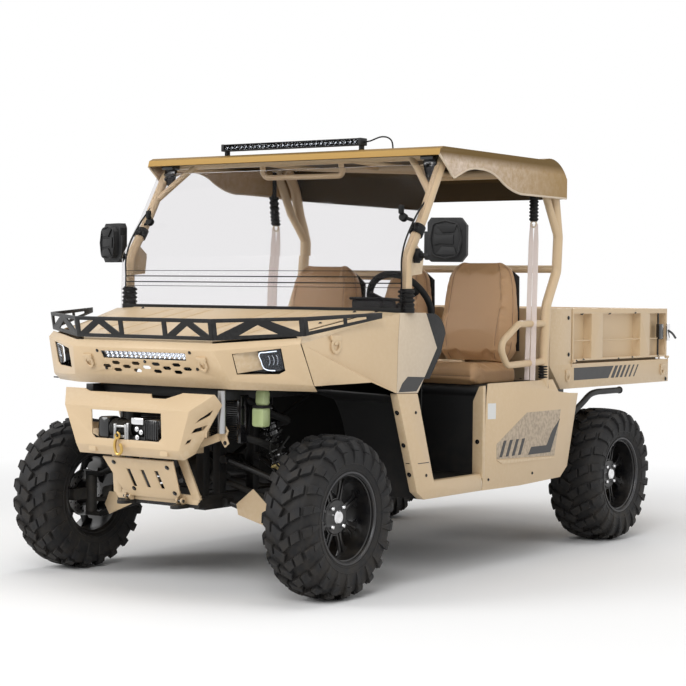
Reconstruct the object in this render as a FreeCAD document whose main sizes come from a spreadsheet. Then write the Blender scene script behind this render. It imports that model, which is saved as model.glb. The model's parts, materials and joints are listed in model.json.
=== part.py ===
# Side by side utility vehicle with a three way drop side dump bed.
# Millimetres. The front faces -Y, +X is the vehicle's left and +Z is up.
# The ground is at Z 0, and the vehicle's length and width are centred on X 0, Y 0.
# Offsets called "ahead" and "behind" are measured along Y from the nearer axle.
import FreeCAD
import Part
import Sketcher
import math
import os

# Driving dimensions: alias, millimetres or degrees or count, what it is.
SIZES = (
    # wheels
    ("tyre_radius", 343, "27 inch tyre"),
    ("front_tyre_width", 232, "9 inch tyre"),
    ("rear_tyre_width", 274, "11 inch tyre"),
    ("tyre_wall", 12, "carcass thickness"),
    ("lug_height", 14, "tread block above the carcass"),
    ("lug_length", 46, "tread block along the tread"),
    ("lug_count", 16, "tread blocks round one side of a tyre"),
    ("bead_inset", 17, "rim flange in from the tyre's widest plane"),
    ("lip_radius", 195, "rolled lip of the 14 inch rim"),
    ("bead_radius", 178, "bead seat of the 14 inch rim"),
    ("rim_wall", 7, "rim barrel thickness"),
    ("rim_dish", 72, "from the rim lip in to the face of the spokes"),
    ("hub_radius", 42, "hub cap"),
    ("hub_back", 30, "hub behind the wheel's middle plane"),
    ("flange", 8, "rim flange outside the tyre bead"),
    ("disc_radius", 108, "brake disc"),
    ("spoke_count", 8, "spokes of a rim"),
    ("wheelbase", 2425, "axle to axle"),
    ("half_track", 710, "wheel centre from the middle plane"),
    # overall
    ("front_overhang", 478, "front axle to the bumper face"),
    ("rear_overhang", 718, "rear axle to the rearmost hinge"),
    ("tail_behind", 706, "outer face of the tailgate behind the rear axle"),
    ("body_half_width", 828, "outer face of the cab panels"),
    ("bed_half_width", 762, "outer face of the drop sides"),
    ("panel", 4, "folded sheet metal"),
    ("sill_depth", 40, "box section of the sill and the door post"),
    # heights
    ("sill_low", 374, "underside of the sill"),
    ("sill_top", 450, "step of the sill"),
    ("floor_top", 440, "cab floor"),
    ("floor_plate", 8, "cab floor thickness"),
    ("seat_box_top", 863, "top edge of the seat box"),
    ("seat_box_half", 772, "seat base from the middle plane"),
    ("cowl_top", 1192, "shelf of the cowl under the windshield"),
    ("roof_top", 1925, "flat of the roof"),
    ("roof_low", 1746, "lower edge of the roof skirt"),
    ("roof_wall", 5, "roof moulding"),
    ("bed_low", 806, "underside of the bed rail"),
    ("bed_floor", 944, "lower edge of the gates"),
    ("bed_top", 1209, "top of the gates"),
    # frame
    ("rail_half_gap", 200, "frame rail centre from the middle plane"),
    ("rail_size", 60, "square frame rail"),
    ("rail_low", 352, "underside of the frame rails"),
    ("post_size", 40, "square frame posts and cross members"),
    ("nose_rail_x", 372, "upper frame rail over the front wheels"),
    ("nose_rail_top", 866, "top of that rail"),
    ("bed_rail_top", 770, "top of the rear frame under the bed"),
    # cage
    ("cage_half_width", 798, "cage tube centre from the middle plane"),
    ("cage_radius", 24, "cage tube"),
    ("brace_radius", 16, "light brace tube"),
    ("bend_radius", 70, "cage tube bends"),
    # gaps
    ("shut_gap", 6, "gap round a lid, a gate or the bed"),
    ("fit_gap", 0.3, "seat of a piece on what carries it"),
    ("pin_gap", 0.1, "running clearance of a pin"),
    # bed
    ("gate_thick", 50, "folded gate panel"),
    ("bed_length", 1356, "bed front wall to the outer face of the tailgate"),
    ("post_width", 222, "bed corner post along Y"),
    ("bed_cut", 117, "slanted lower corner of the bed, along Y"),
    ("bed_hinge_behind", 470, "bed pivot behind the rear axle"),
    ("bed_hinge_height", 788, "bed pivot height"),
    ("bed_ear_radius", 13, "ear of the bed pivot"),
    ("bed_pin_radius", 8, "pin of the bed pivot"),
    ("hood_hinge_half", 440, "hood hinge from the middle plane"),
    ("hinge_barrel", 7, "hinge barrel radius"),
    ("hinge_pin", 3.5, "hinge pin radius"),
    ("gate_gap", 14, "bed edge below the gates"),
    ("tail_gap", 16, "gap at each end of the tailgate"),
    # driveline, towing
    ("diff_radius", 78, "differential housing"),
    ("diff_height", 488, "differential centre"),
    ("knuckle_half", 84, "half height of the knuckle"),
    ("eye_radius", 11, "towing eye"),
    ("eye_half_gap", 150, "towing eye from the middle plane"),
    ("receiver_size", 64, "square tube of the tow bar receiver"),
    # steering
    ("kingpin_half", 640, "kingpin axis from the middle plane"),
    ("steering_x", 440, "steering wheel centre"),
    ("steering_behind", 900, "steering wheel centre behind the front axle"),
    ("steering_height", 1230, "steering wheel centre height"),
    ("steering_tilt", 35, "column angle above level, degrees"),
    ("steering_radius", 175, "steering wheel rim"),
    ("grip_radius", 15, "steering wheel grip"),
)


class Size:
    """A number that remembers the sheet formula it comes from."""

    def __init__(self, value, text):
        self.value = value
        self.text = text

    def join(self, other, sign, value):
        other_text = other.text if isinstance(other, Size) else repr(other)
        return Size(value, "(%s %s %s)" % (self.text, sign, other_text))

    def __float__(self):
        return float(self.value)

    def __add__(self, other):
        return self.join(other, "+", self.value + float(other))

    def __radd__(self, other):
        return self + other

    def __sub__(self, other):
        return self.join(other, "-", self.value - float(other))

    def __rsub__(self, other):
        return -self + other

    def __mul__(self, other):
        return self.join(other, "*", self.value * float(other))

    def __rmul__(self, other):
        return self * other

    def __truediv__(self, other):
        return self.join(other, "/", self.value / float(other))

    def __neg__(self):
        return self * -1

    def __lt__(self, other):
        return self.value < float(other)


doc = FreeCAD.newDocument("SideBySide")
sheet = doc.addObject("Spreadsheet::Sheet", "Sizes")


class Sheet:
    """The driving dimensions, each as a Size under its own name."""


dim = Sheet()
for row, (alias, number, meaning) in enumerate(SIZES, start=1):
    sheet.set("A%d" % row, alias)
    sheet.set("B%d" % row, str(number))
    sheet.set("C%d" % row, meaning)
    sheet.setAlias("B%d" % row, alias)
doc.recompute()
for alias, number, meaning in SIZES:
    setattr(dim, alias, Size(float(sheet.get(alias)), "Sizes." + alias))

# Stations worked out from the driving dimensions.
overall_length = dim.front_overhang + dim.wheelbase + dim.rear_overhang
front_axle = dim.front_overhang - overall_length / 2
rear_axle = front_axle + dim.wheelbase
tail_y = overall_length / 2
axle_height = dim.tyre_radius

nodes = []


def front(offset):
    """Y of a place measured back from the front axle."""
    return front_axle + offset


def rear(offset):
    """Y of a place measured back from the rear axle."""
    return rear_axle + offset


def vec(x, y, z):
    return FreeCAD.Vector(float(x), float(y), float(z))


def keep(thing, label):
    """Name a finished sub-part; its label is the name of its file."""
    thing.Label = label
    nodes.append(thing)
    return thing


def bind(thing, prop, amount):
    """Tie a property to the sheet, or set it when it is a plain number."""
    if isinstance(amount, Size):
        thing.setExpression(prop, amount.text)
    else:
        setattr(thing, prop, amount)


def place(thing, x, y, z):
    for axis, amount in (("x", x), ("y", y), ("z", z)):
        amount = amount if isinstance(amount, Size) else Size(float(amount), repr(float(amount)))
        thing.setExpression("Placement.Base." + axis, amount.text)
    return thing


def raw(name, shape):
    """An object whose shape neither a body nor a primitive can give."""
    thing = doc.addObject("Part::Feature", name)
    thing.Shape = shape
    return thing


def feature(label, shape):
    """Such an object as a finished sub-part."""
    return keep(raw(label, shape), label)


def box(name, low, high):
    """A block between two opposite corners."""
    block = doc.addObject("Part::Box", name)
    for prop, near, far in zip(("Length", "Width", "Height"), low, high):
        bind(block, prop, far - near)
    return place(block, *low)


def rod(name, radius, start, length, axis):
    """A cylinder from start, along X, Y or Z."""
    bar = doc.addObject("Part::Cylinder", name)
    bind(bar, "Radius", radius)
    bind(bar, "Height", length)
    turn = {"X": ("Y", 90), "Y": ("X", -90), "Z": ("Z", 0)}[axis]
    spin_axis = {"X": vec(1, 0, 0), "Y": vec(0, 1, 0), "Z": vec(0, 0, 1)}[turn[0]]
    bar.Placement = FreeCAD.Placement(vec(0, 0, 0), FreeCAD.Rotation(spin_axis, turn[1]))
    return place(bar, *start)


def fuse(name, parts):
    joined = doc.addObject("Part::MultiFuse", name)
    joined.Shapes = parts
    return joined


def cut(name, base, tool):
    carved = doc.addObject("Part::Cut", name)
    carved.Base = base
    carved.Tool = tool
    return carved


def group(name, parts):
    """Like pieces on one body, as solids that don't touch."""
    together = doc.addObject("Part::Compound", name)
    together.Links = parts
    return together


def mirrored(name, part):
    """The right hand copy of a left hand piece."""
    other = doc.addObject("Part::Mirroring", name)
    other.Source = part
    other.Base = vec(0, 0, 0)
    other.Normal = vec(1, 0, 0)
    return other


def pair(label, part):
    """A left hand piece and its right hand copy, as one node."""
    return keep(group(label, [part, mirrored(label + "_right_copy", part)]), label)


def opposite(shape):
    """The right hand copy of a left hand shape."""
    return shape.mirror(vec(0, 0, 0), vec(1, 0, 0))


def both_sides(shape):
    return Part.makeCompound([shape, opposite(shape)])


def origin_plane(body, role):
    return [item for item in body.Origin.OriginFeatures if item.Role == role][0]


def sketch(body, name, plane, start):
    """A sketch on one of the body's origin planes, moved to start along its axis."""
    drawing = body.newObject("Sketcher::SketchObject", name)
    drawing.AttachmentSupport = [(origin_plane(body, plane + "_Plane"), "")]
    drawing.MapMode = "FlatFace"
    start = start if isinstance(start, Size) else Size(float(start), repr(float(start)))
    drawing.setExpression("AttachmentOffset.Base.z", (-start if plane == "XZ" else start).text)
    return drawing


def pin_point(drawing, item, corner, point):
    """Hold a sketch point at its two distances from the origin."""
    for kind, amount in zip(("DistanceX", "DistanceY"), point):
        amount = amount if isinstance(amount, Size) else Size(float(amount), repr(float(amount)))
        index = drawing.addConstraint(
            Sketcher.Constraint(kind, -1, 1, item, corner, amount.value))
        drawing.setExpression("Constraints[%d]" % index, amount.text)


def outline(drawing, points):
    """A closed outline. A point with a third entry is where an arc passes between its neighbours."""
    corners = []
    middles = {}
    for point in points:
        if len(point) == 3:
            middles[len(corners) - 1] = point[:2]
        else:
            corners.append(point)
    first = drawing.GeometryCount
    ends = []
    for i, corner in enumerate(corners):
        begin = vec(corner[0], corner[1], 0)
        following = corners[(i + 1) % len(corners)]
        end = vec(following[0], following[1], 0)
        if i in middles:
            middle = vec(middles[i][0], middles[i][1], 0)
            drawing.addGeometry(Part.Arc(begin, middle, end), False)
            turns_left = (middle - begin).cross(end - middle).z > 0
            ends.append((1, 2) if turns_left else (2, 1))
        else:
            drawing.addGeometry(Part.LineSegment(begin, end), False)
            ends.append((1, 2))
    for i, (begin_end, finish_end) in enumerate(ends):
        after = (i + 1) % len(ends)
        drawing.addConstraint(Sketcher.Constraint(
            "Coincident", first + i, finish_end, first + after, ends[after][0]))
        pin_point(drawing, first + i, begin_end, corners[i])
    for i, middle in middles.items():
        mark = drawing.addGeometry(Part.Point(vec(middle[0], middle[1], 0)), True)
        pin_point(drawing, mark, 1, middle)
        drawing.addConstraint(Sketcher.Constraint("PointOnObject", mark, 1, first + i))


def circle(drawing, centre, radius):
    ring = Part.Circle(vec(centre[0], centre[1], 0), vec(0, 0, 1), float(radius))
    index = drawing.addGeometry(ring, False)
    pin_point(drawing, index, 3, centre)
    number = drawing.addConstraint(Sketcher.Constraint("Radius", index, float(radius)))
    if isinstance(radius, Size):
        drawing.setExpression("Constraints[%d]" % number, radius.text)


def pad(body, drawing, depth):
    """Pad towards the positive axis."""
    thing = body.newObject("PartDesign::Pad", drawing.Name + "_pad")
    thing.Profile = drawing
    thing.Reversed = drawing.AttachmentSupport[0][0].Role == "XZ_Plane"
    bind(thing, "Length", depth)
    return thing


def pocket(body, drawing, depth):
    """Cut towards the positive axis."""
    thing = body.newObject("PartDesign::Pocket", drawing.Name + "_pocket")
    thing.Profile = drawing
    thing.Reversed = drawing.AttachmentSupport[0][0].Role != "XZ_Plane"
    bind(thing, "Length", depth)
    return thing


def plate(name, plane, start, depth, points):
    """A body padded from one outline, the start of many flat pieces."""
    body = doc.addObject("PartDesign::Body", name)
    drawing = sketch(body, name + "_outline", plane, start)
    outline(drawing, points)
    pad(body, drawing, depth)
    return body


def panel_normal(corners):
    normal = FreeCAD.Vector(0, 0, 0)
    for here, after in zip(corners, corners[1:] + corners[:1]):
        normal = normal + here.cross(after)
    return normal.normalize()


def folded_sheet(points, panels, wall):
    """A folded sheet. Its outer face has the named points, its inner face is a wall behind.

    Each panel lists its corners anticlockwise, seen from outside.
    """
    outer = {name: vec(*spot) for name, spot in points.items()}
    around = {name: [] for name in points}
    for panel in panels:
        normal = panel_normal([outer[name] for name in panel])
        for name in panel:
            around[name].append(normal)
    inner = {}
    for name, normals in around.items():
        step = FreeCAD.Vector(0, 0, 0)
        for turn in range(80):
            for normal in normals:
                step = step - normal * (float(wall) + normal.dot(step))
        inner[name] = outer[name] + step
    edges = {}
    faces = []
    for panel in panels:
        for begin, end in zip(panel, panel[1:] + panel[:1]):
            edges[(begin, end)] = True
        for i in range(1, len(panel) - 1):
            corner = (panel[0], panel[i], panel[i + 1])
            faces.append([outer[name] for name in corner])
            faces.append([inner[name] for name in reversed(corner)])
    for begin, end in edges:
        if (end, begin) not in edges:
            faces.append([outer[end], outer[begin], inner[begin]])
            faces.append([outer[end], inner[begin], inner[end]])
    return closed_solid(faces)


def closed_solid(triangles):
    faces = [Part.Face(Part.makePolygon(corners + corners[:1])) for corners in triangles]
    solid = Part.Solid(Part.Shell(faces))
    if solid.Volume < 0:
        solid.reverse()
    return solid.removeSplitter()


def backed_panel(points, panels, back_x):
    """A closed box section. Its outer face has the named points, its back is flat at one X."""
    outer = {name: vec(*spot) for name, spot in points.items()}
    back = {name: vec(back_x, spot.y, spot.z) for name, spot in outer.items()}
    edges = set()
    faces = []
    for panel in panels:
        edges.update(zip(panel, panel[1:] + panel[:1]))
        for i in range(1, len(panel) - 1):
            corner = (panel[0], panel[i], panel[i + 1])
            faces.append([outer[name] for name in corner])
            faces.append([back[name] for name in reversed(corner)])
    for begin, end in sorted(edges):
        if (end, begin) not in edges:
            faces.append([outer[end], outer[begin], back[begin]])
            faces.append([outer[end], back[begin], back[end]])
    return closed_solid(faces)


def tube(points, radius, bend):
    """A round bar along straight runs that tangent arcs join."""
    spots = [vec(*point) for point in points]
    edges = []
    begin = spots[0]
    for before, corner, after in zip(spots, spots[1:], spots[2:]):
        into = (corner - before).normalize()
        away = (after - corner).normalize()
        half = into.getAngle(away) / 2
        reach = float(bend) * math.tan(half)
        arc_start = corner - into * reach
        arc_end = corner + away * reach
        inward = (away - into).normalize()
        middle = corner + inward * (float(bend) / math.cos(half) - float(bend))
        edges.append(Part.makeLine(begin, arc_start))
        edges.append(Part.Arc(arc_start, middle, arc_end).toShape())
        begin = arc_end
    edges.append(Part.makeLine(begin, spots[-1]))
    start_way = (spots[1] - spots[0]).normalize()
    ring = Part.Wire([Part.makeCircle(float(radius), spots[0], start_way)])
    return Part.Wire(edges).makePipeShell([ring], True, False)


def cord_tube(points, radius):
    """A cord along its route, each bend as large as the runs beside it allow."""
    spots = [vec(*point) for point in points]
    edges = []
    begin = spots[0]
    length = 0
    for before, corner, after in zip(spots, spots[1:], spots[2:]):
        run_in = (corner - before).Length
        run_out = (after - corner).Length
        into = (corner - before).normalize()
        away = (after - corner).normalize()
        half = into.getAngle(away) / 2
        reach = 0.45 * min(run_in, run_out)
        bend = reach / math.tan(half)
        arc_start = corner - into * reach
        arc_end = corner + away * reach
        inward = (away - into).normalize()
        middle = corner + inward * (bend / math.cos(half) - bend)
        edges.append(Part.makeLine(begin, arc_start))
        edges.append(Part.Arc(arc_start, middle, arc_end).toShape())
        length += (arc_start - begin).Length + 2 * half * bend
        begin = arc_end
        print("cord bend radius %.1f, turn %.0f degrees" % (bend, math.degrees(2 * half)))
    edges.append(Part.makeLine(begin, spots[-1]))
    length += (spots[-1] - begin).Length
    start_way = (spots[1] - spots[0]).normalize()
    ring = Part.Wire([Part.makeCircle(float(radius), spots[0], start_way)])
    cord = Part.Wire(edges).makePipeShell([ring], True, False)
    expected = math.pi * float(radius) ** 2 * length
    print("cord length %.1f, volume %.0f against %.0f" % (length, cord.Volume, expected))
    return cord


def strut(start, end, radius):
    begin = vec(*start)
    way = vec(*end) - begin
    return Part.makeCylinder(float(radius), way.Length, begin, way)


def block(corner, opposite):
    """A block between any two opposite corners."""
    low = [min(float(a), float(b)) for a, b in zip(corner, opposite)]
    high = [max(float(a), float(b)) for a, b in zip(corner, opposite)]
    return Part.makeBox(high[0] - low[0], high[1] - low[1], high[2] - low[2], vec(*low))


def prism(points, way):
    """A solid from a flat outline of points in space, pushed along a vector."""
    corners = [vec(*point) for point in points]
    return Part.Face(Part.makePolygon(corners + corners[:1])).extrude(vec(*way))


def turn_profile(body, name, points):
    """Revolve an outline of (X, radius) points round the body's X axis."""
    drawing = sketch(body, name, "XZ", 0)
    outline(drawing, points)
    thing = body.newObject("PartDesign::Revolution", name + "_turn")
    thing.Profile = drawing
    thing.ReferenceAxis = (drawing, ["H_Axis"])
    thing.Angle = 360
    return thing


def round_bar(radius, start, length, axis):
    """A cylinder from start, along X, Y or Z, as a bare shape."""
    way = {"X": vec(1, 0, 0), "Y": vec(0, 1, 0), "Z": vec(0, 0, 1)}[axis]
    return Part.makeCylinder(float(radius), float(length), vec(*start), way)


def join(shapes):
    return shapes[0].fuse(shapes[1:]).removeSplitter()


# Wheels: a lugged tyre on a deep dished rim, with its hub and brake disc behind the spokes.
def lip_plane(width):
    """Outer face of the rim lip, measured from the wheel's middle plane."""
    return width / 2 - dim.bead_inset + 6


def make_tyre(label, side, axle_y, width):
    """A hollow tyre round a line along X, with two rows of slanted lugs that meet in a V."""
    body = doc.addObject("PartDesign::Body", label)
    half = width / 2
    crown = dim.tyre_radius - dim.lug_height
    bead = dim.bead_radius + dim.fit_gap
    bead_half = lip_plane(width) - dim.flange - dim.fit_gap
    wall = dim.tyre_wall
    rim_clear = dim.lip_radius + 1
    profile = [
        (-bead_half, bead), (-bead_half, rim_clear), (-half, bead + 58), (-half + 10, crown - 34),
        (-half + 36, crown), (half - 36, crown), (half - 10, crown - 34), (half, bead + 58),
        (bead_half, rim_clear), (bead_half, bead), (bead_half - wall, bead), (half - wall - 4, bead + 60),
        (half - 42, crown - wall), (-half + 42, crown - wall), (-half + wall + 4, bead + 60),
        (-bead_half + wall, bead),
    ]
    turn_profile(body, label + "_profile", profile)
    run = dim.lug_length
    slant = -20
    for row, sign in enumerate((-1, 1)):
        lugs = sketch(body, "%s_lugs_%d" % (label, row), "XY", dim.tyre_radius - 30)
        outline(lugs, [
            (sign * 2, slant - run / 2), (sign * (half - 38), -slant - run / 2),
            (sign * (half - 38), -slant + run / 2 - 6), (sign * 2, slant + run / 2 - 14)])
        rise = pad(body, lugs, 30)
        ring = body.newObject("PartDesign::PolarPattern", "%s_ring_%d" % (label, row))
        ring.Originals = [rise]
        ring.Axis = (origin_axis(body, "X_Axis"), [""])
        ring.Angle = 360
        bind(ring, "Occurrences", dim.lug_count)
        body.Tip = ring
    place(body, side * dim.half_track, axle_y, axle_height)
    return keep(body, label)


def origin_axis(body, role):
    return [item for item in body.Origin.OriginFeatures if item.Role == role][0]


def make_rim(label, side, axle_y, width):
    """A rim whose spokes stand well inside its outer lip."""
    body = doc.addObject("PartDesign::Body", label)
    lip_face = lip_plane(width)
    back_face = -lip_face
    seat = dim.bead_radius
    inside = seat - dim.rim_wall
    lip = dim.lip_radius
    flange = dim.flange
    face = lip_face - dim.rim_dish
    hub = dim.hub_radius
    back = -dim.hub_back
    profile = [
        (back, 0), (face + 14, 0), (face + 14, hub - 8), (face + 8, hub), (face, hub + 6),
        (face - 8, inside), (lip_face - 14, inside), (lip_face, lip - 9), (lip_face, lip),
        (lip_face - flange, lip), (lip_face - flange, seat), (back_face + flange, seat),
        (back_face + flange, lip), (back_face, lip), (back_face, inside),
        (face - 18, inside), (face - 14, hub + 12), (back + 10, hub + 8), (back + 10, dim.disc_radius),
        (back + 4, dim.disc_radius), (back + 4, hub - 8), (back, hub - 8),
    ]
    turn_profile(body, label + "_profile", [(side * amount, radius) for amount, radius in profile])
    low = face - 40
    window = sketch(body, label + "_window", "YZ", low if side > 0 else -(face + 20))
    outline(window, [(-14, hub + 18), (14, hub + 18), (46, inside - 18), (0, inside - 8, "arc"),
                     (-46, inside - 18)])
    hole = pocket(body, window, 60)
    ring = body.newObject("PartDesign::PolarPattern", label + "_spokes")
    ring.Originals = [hole]
    ring.Axis = (origin_axis(body, "X_Axis"), [""])
    ring.Angle = 360
    bind(ring, "Occurrences", dim.spoke_count)
    body.Tip = ring
    place(body, side * dim.half_track, axle_y, axle_height)
    return keep(body, label)


for end, axle_y, width in (("front", front_axle, dim.front_tyre_width),
                           ("rear", rear_axle, dim.rear_tyre_width)):
    for hand, side in (("left", 1), ("right", -1)):
        make_tyre("tyre_%s_%s" % (end, hand), side, axle_y, width)
        make_rim("rim_%s_%s" % (end, hand), side, axle_y, width)

# Knuckles: an upright on the kingpin with its stub axle, steering arm and caliper.
kingpin = dim.kingpin_half
hub_face = dim.half_track - dim.hub_back
knuckle_low = axle_height - dim.knuckle_half
knuckle_top = axle_height + dim.knuckle_half
arm_inner = kingpin - 34
for hand, side in (("left", 1), ("right", -1)):
    upright = round_bar(26, (side * kingpin, front_axle, knuckle_low), dim.knuckle_half * 2, "Z")
    stub = strut((side * (kingpin - 4), front_axle, axle_height),
                 (side * (hub_face - dim.fit_gap), front_axle, axle_height), 24)
    arm = prism([
        (side * (kingpin - 12), front(10), axle_height - 40),
        (side * (kingpin + 12), front(10), axle_height - 40),
        (side * (arm_inner + 12), front(110), axle_height - 40),
        (side * (arm_inner - 12), front(110), axle_height - 40)], (0, 0, 18))
    caliper = block((side * (kingpin + 4), front(-112), axle_height - 26),
                    (side * (hub_face - 6), front(-14), axle_height + 26))
    feature("knuckle_" + hand, join([upright, stub, arm, caliper]))

# Frame: two rails, cross members and the towers, with what is welded to them.
rail_x = dim.rail_half_gap
half_rail = dim.rail_size / 2
half_post = dim.post_size / 2
rail_top = dim.rail_low + dim.rail_size
floor_under = dim.floor_top - dim.floor_plate
frame_front = front(-230)
frame_rear = rear(500)
sill_back = dim.body_half_width - dim.sill_depth
sheet_back = dim.body_half_width - dim.panel
nose_x = dim.nose_rail_x
nose_low = dim.nose_rail_top - dim.post_size
bed_rail_low = dim.bed_rail_top - dim.post_size
frame_parts = []


def frame_box(low, high):
    frame_parts.append(box("frame_%d" % len(frame_parts), low, high))


def across(station, depth, low, high, half_width):
    """A cross member from side to side."""
    frame_box((-half_width, station, low), (half_width, station + depth, high))


tower_stations = (frame_front, front(-120), front(110))
pivot_stations = (front(-100), front(130))
rear_tower_stations = (rear(-130), rear(80))
for side in (1, -1):
    x_low = side * rail_x - half_post
    x_high = side * rail_x + half_post
    frame_box((side * rail_x - half_rail, frame_front, dim.rail_low),
              (side * rail_x + half_rail, frame_rear, rail_top))
    for station in tower_stations:
        frame_box((x_low, station, rail_top), (x_high, station + dim.post_size, nose_low))
    for station in rear_tower_stations + (rear(300),):
        frame_box((x_low, station, rail_top), (x_high, station + dim.post_size, bed_rail_low))
    frame_box((x_low, rear(-640), rail_top), (x_high, rear(-600), bed_rail_low))
    frame_box((x_low, rear(-640), bed_rail_low), (x_high, frame_rear, dim.bed_rail_top))
    frame_box((side * nose_x - half_post, front(-300), nose_low),
              (side * nose_x + half_post, front(376), dim.nose_rail_top))
across(frame_front, dim.post_size, nose_low, dim.nose_rail_top, nose_x)
across(front(110), dim.post_size, nose_low, dim.nose_rail_top, nose_x)
across(front(-120), dim.post_size, nose_low, dim.nose_rail_top, nose_x)
across(front(-270), 40, dim.rail_low + 10, rail_top - 10, rail_x + half_rail)
across(front(112), 36, dim.rail_low + 6, dim.rail_low + 30, rail_x)
across(rear(-128), 36, dim.rail_low + 6, dim.rail_low + 30, rail_x)
across(rear(436), 44, dim.rail_low + 8, rail_top - 6, rail_x)
across(rear(440), 40, bed_rail_low, dim.bed_rail_top, rail_x)
across(rear(-640), 40, bed_rail_low, dim.bed_rail_top, rail_x)
diff_seat = dim.diff_height - dim.diff_radius
for axle_y in (front_axle, rear_axle):
    across(axle_y - 20, 40, dim.rail_low + 6, diff_seat, rail_x)

# Outriggers under the floor carry the sills, the seat box and the feet of the cage.
outrigger_stations = (front(600), front(1040), rear(-1010))
hoop_station = rear(-772)
for station in outrigger_stations:
    across(station, dim.post_size, rail_top, floor_under, sill_back)
    frame_box((rail_x + half_rail, station, dim.sill_low), (sill_back, station + dim.post_size, rail_top))
    frame_box((-sill_back, station, dim.sill_low), (-rail_x - half_rail, station + dim.post_size, rail_top))
across(hoop_station - 30, 60, rail_top, floor_under, sheet_back)
engine_low = dim.rail_low + 14
for station in (rear(-500), rear(-190)):
    across(station, dim.post_size, dim.rail_low, engine_low, rail_x)

# The towing eyes, the receiver and the ears of the bed hinge are welded to the frame.
bed_hinge_y = rear(dim.bed_hinge_behind)
bed_hinge_z = dim.bed_hinge_height
eye_y = front(-322)
eye_z = dim.rail_low + 16
welded = []
for side in (1, -1):
    eye = block((side * dim.eye_half_gap - 26, eye_y, eye_z - 7),
                (side * dim.eye_half_gap + 26, front(-270), eye_z + 7))
    eye = eye.fuse(round_bar(26, (side * dim.eye_half_gap, eye_y, eye_z - 7), 14, "Z"))
    eye = eye.cut(round_bar(dim.eye_radius, (side * dim.eye_half_gap, eye_y, eye_z - 20), 40, "Z"))
    welded.append(eye)
    ear = round_bar(dim.bed_ear_radius, (side * rail_x - half_post, bed_hinge_y, bed_hinge_z),
                    dim.post_size, "X")
    foot = block((side * rail_x - half_post, bed_hinge_y - dim.bed_ear_radius, dim.bed_rail_top - 4),
                 (side * rail_x + half_post, bed_hinge_y + dim.bed_ear_radius, bed_hinge_z))
    bore = round_bar(dim.bed_pin_radius + dim.pin_gap, (side * rail_x - 60, bed_hinge_y, bed_hinge_z),
                     120, "X")
    welded.append(ear.fuse(foot).cut(bore))
for side in (1, -1):
    for face in (1, -1):
        near = face * (20 + dim.fit_gap)
        far = face * (26 + dim.fit_gap)
        welded.append(block((side * (nose_x - 16), front_axle + near, nose_low - 40),
                            (side * (nose_x + 16), front_axle + far, nose_low + 2)))
        welded.append(block((side * (rail_x + half_post - 2), rear_axle + near, bed_rail_low - 40),
                            (side * (rail_x + half_post + 48), rear_axle + far, bed_rail_low + 20)))
receiver_half = dim.receiver_size / 2
receiver_z = dim.rail_low + 40
receiver_end = rear(590)
receiver = block((-receiver_half, rear(400), receiver_z - receiver_half),
                 (receiver_half, receiver_end, receiver_z + receiver_half))
receiver = receiver.cut(block((-25.5, rear(480), receiver_z - 25.5), (25.5, rear(600), receiver_z + 25.5)))
receiver = receiver.cut(round_bar(8, (-50, rear(548), receiver_z), 100, "X"))
welded.append(receiver)
keep(fuse("chassis_frame", frame_parts + [raw("welded_%d" % i, shape) for i, shape in enumerate(welded)]),
     "chassis_frame")

# Cab floor: a flat tray with a toe board in front.
toe_y = front(572)
floor_rear = front(1104)
keep(plate("floor_pan", "YZ", -sill_back, sill_back * 2, [
    (toe_y, floor_under), (floor_rear, floor_under), (floor_rear, dim.floor_top),
    (toe_y + 70, dim.floor_top), (toe_y + dim.floor_plate, dim.floor_top + 150),
    (toe_y + dim.floor_plate, 900), (toe_y, 900)]), "floor_pan")

# Nose: the faceted fascia below the hood, with its lamp openings, light slot and honeycomb.
guard_low_z = 1074
nose = {
    "top_mid": (391, front(-385), 1032), "top_out": (709, front(-211), 1065),
    "low_mid": (434, front(-326), 907), "low_out": (733, front(-150.6), 895),
    "lip_mid": (440, front(-296), 872), "lip_out": (728, front(-118), 868),
    "brow_mid": (385, front(-370), 1062), "brow_out": (700, front(-190), 1090),
}
nose = {name + "_l": spot for name, spot in nose.items()}
for name in list(nose):
    x, y, z = nose[name]
    nose[name[:-1] + "r"] = (-x, y, z)
fascia = folded_sheet(nose, [
    ("top_mid_r", "low_mid_r", "low_mid_l", "top_mid_l"),
    ("low_mid_r", "lip_mid_r", "lip_mid_l", "low_mid_l"),
    ("brow_mid_r", "top_mid_r", "top_mid_l", "brow_mid_l"),
    ("top_mid_l", "low_mid_l", "low_out_l", "top_out_l"),
    ("low_mid_l", "lip_mid_l", "lip_out_l", "low_out_l"),
    ("brow_mid_l", "top_mid_l", "top_out_l", "brow_out_l"),
    ("top_mid_r", "top_out_r", "low_out_r", "low_mid_r"),
    ("low_mid_r", "low_out_r", "lip_out_r", "lip_mid_r"),
    ("brow_mid_r", "brow_out_r", "top_out_r", "top_mid_r"),
], dim.panel)


class Facet:
    """A flat part of the nose: places on it are given along its top edge, down and out of it."""

    def __init__(self, start, end, low):
        self.start = vec(*nose[start])
        self.along = (vec(*nose[end]) - self.start).normalize()
        slope = vec(*nose[low]) - self.start
        self.out = slope.cross(self.along).normalize()
        if self.out.y > 0:
            self.out = self.out * -1
        self.down = self.along.cross(self.out).normalize()
        if self.down.z > 0:
            self.down = self.down * -1

    def spot(self, along, down, out=0.0):
        return self.start + self.along * along + self.down * down + self.out * out

    def prism(self, corners, near, far):
        """A solid over the corners, between two depths along the outward normal."""
        spots = [self.spot(along, down, near) for along, down in corners]
        return Part.Face(Part.makePolygon(spots + spots[:1])).extrude(self.out * (far - near))


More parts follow.
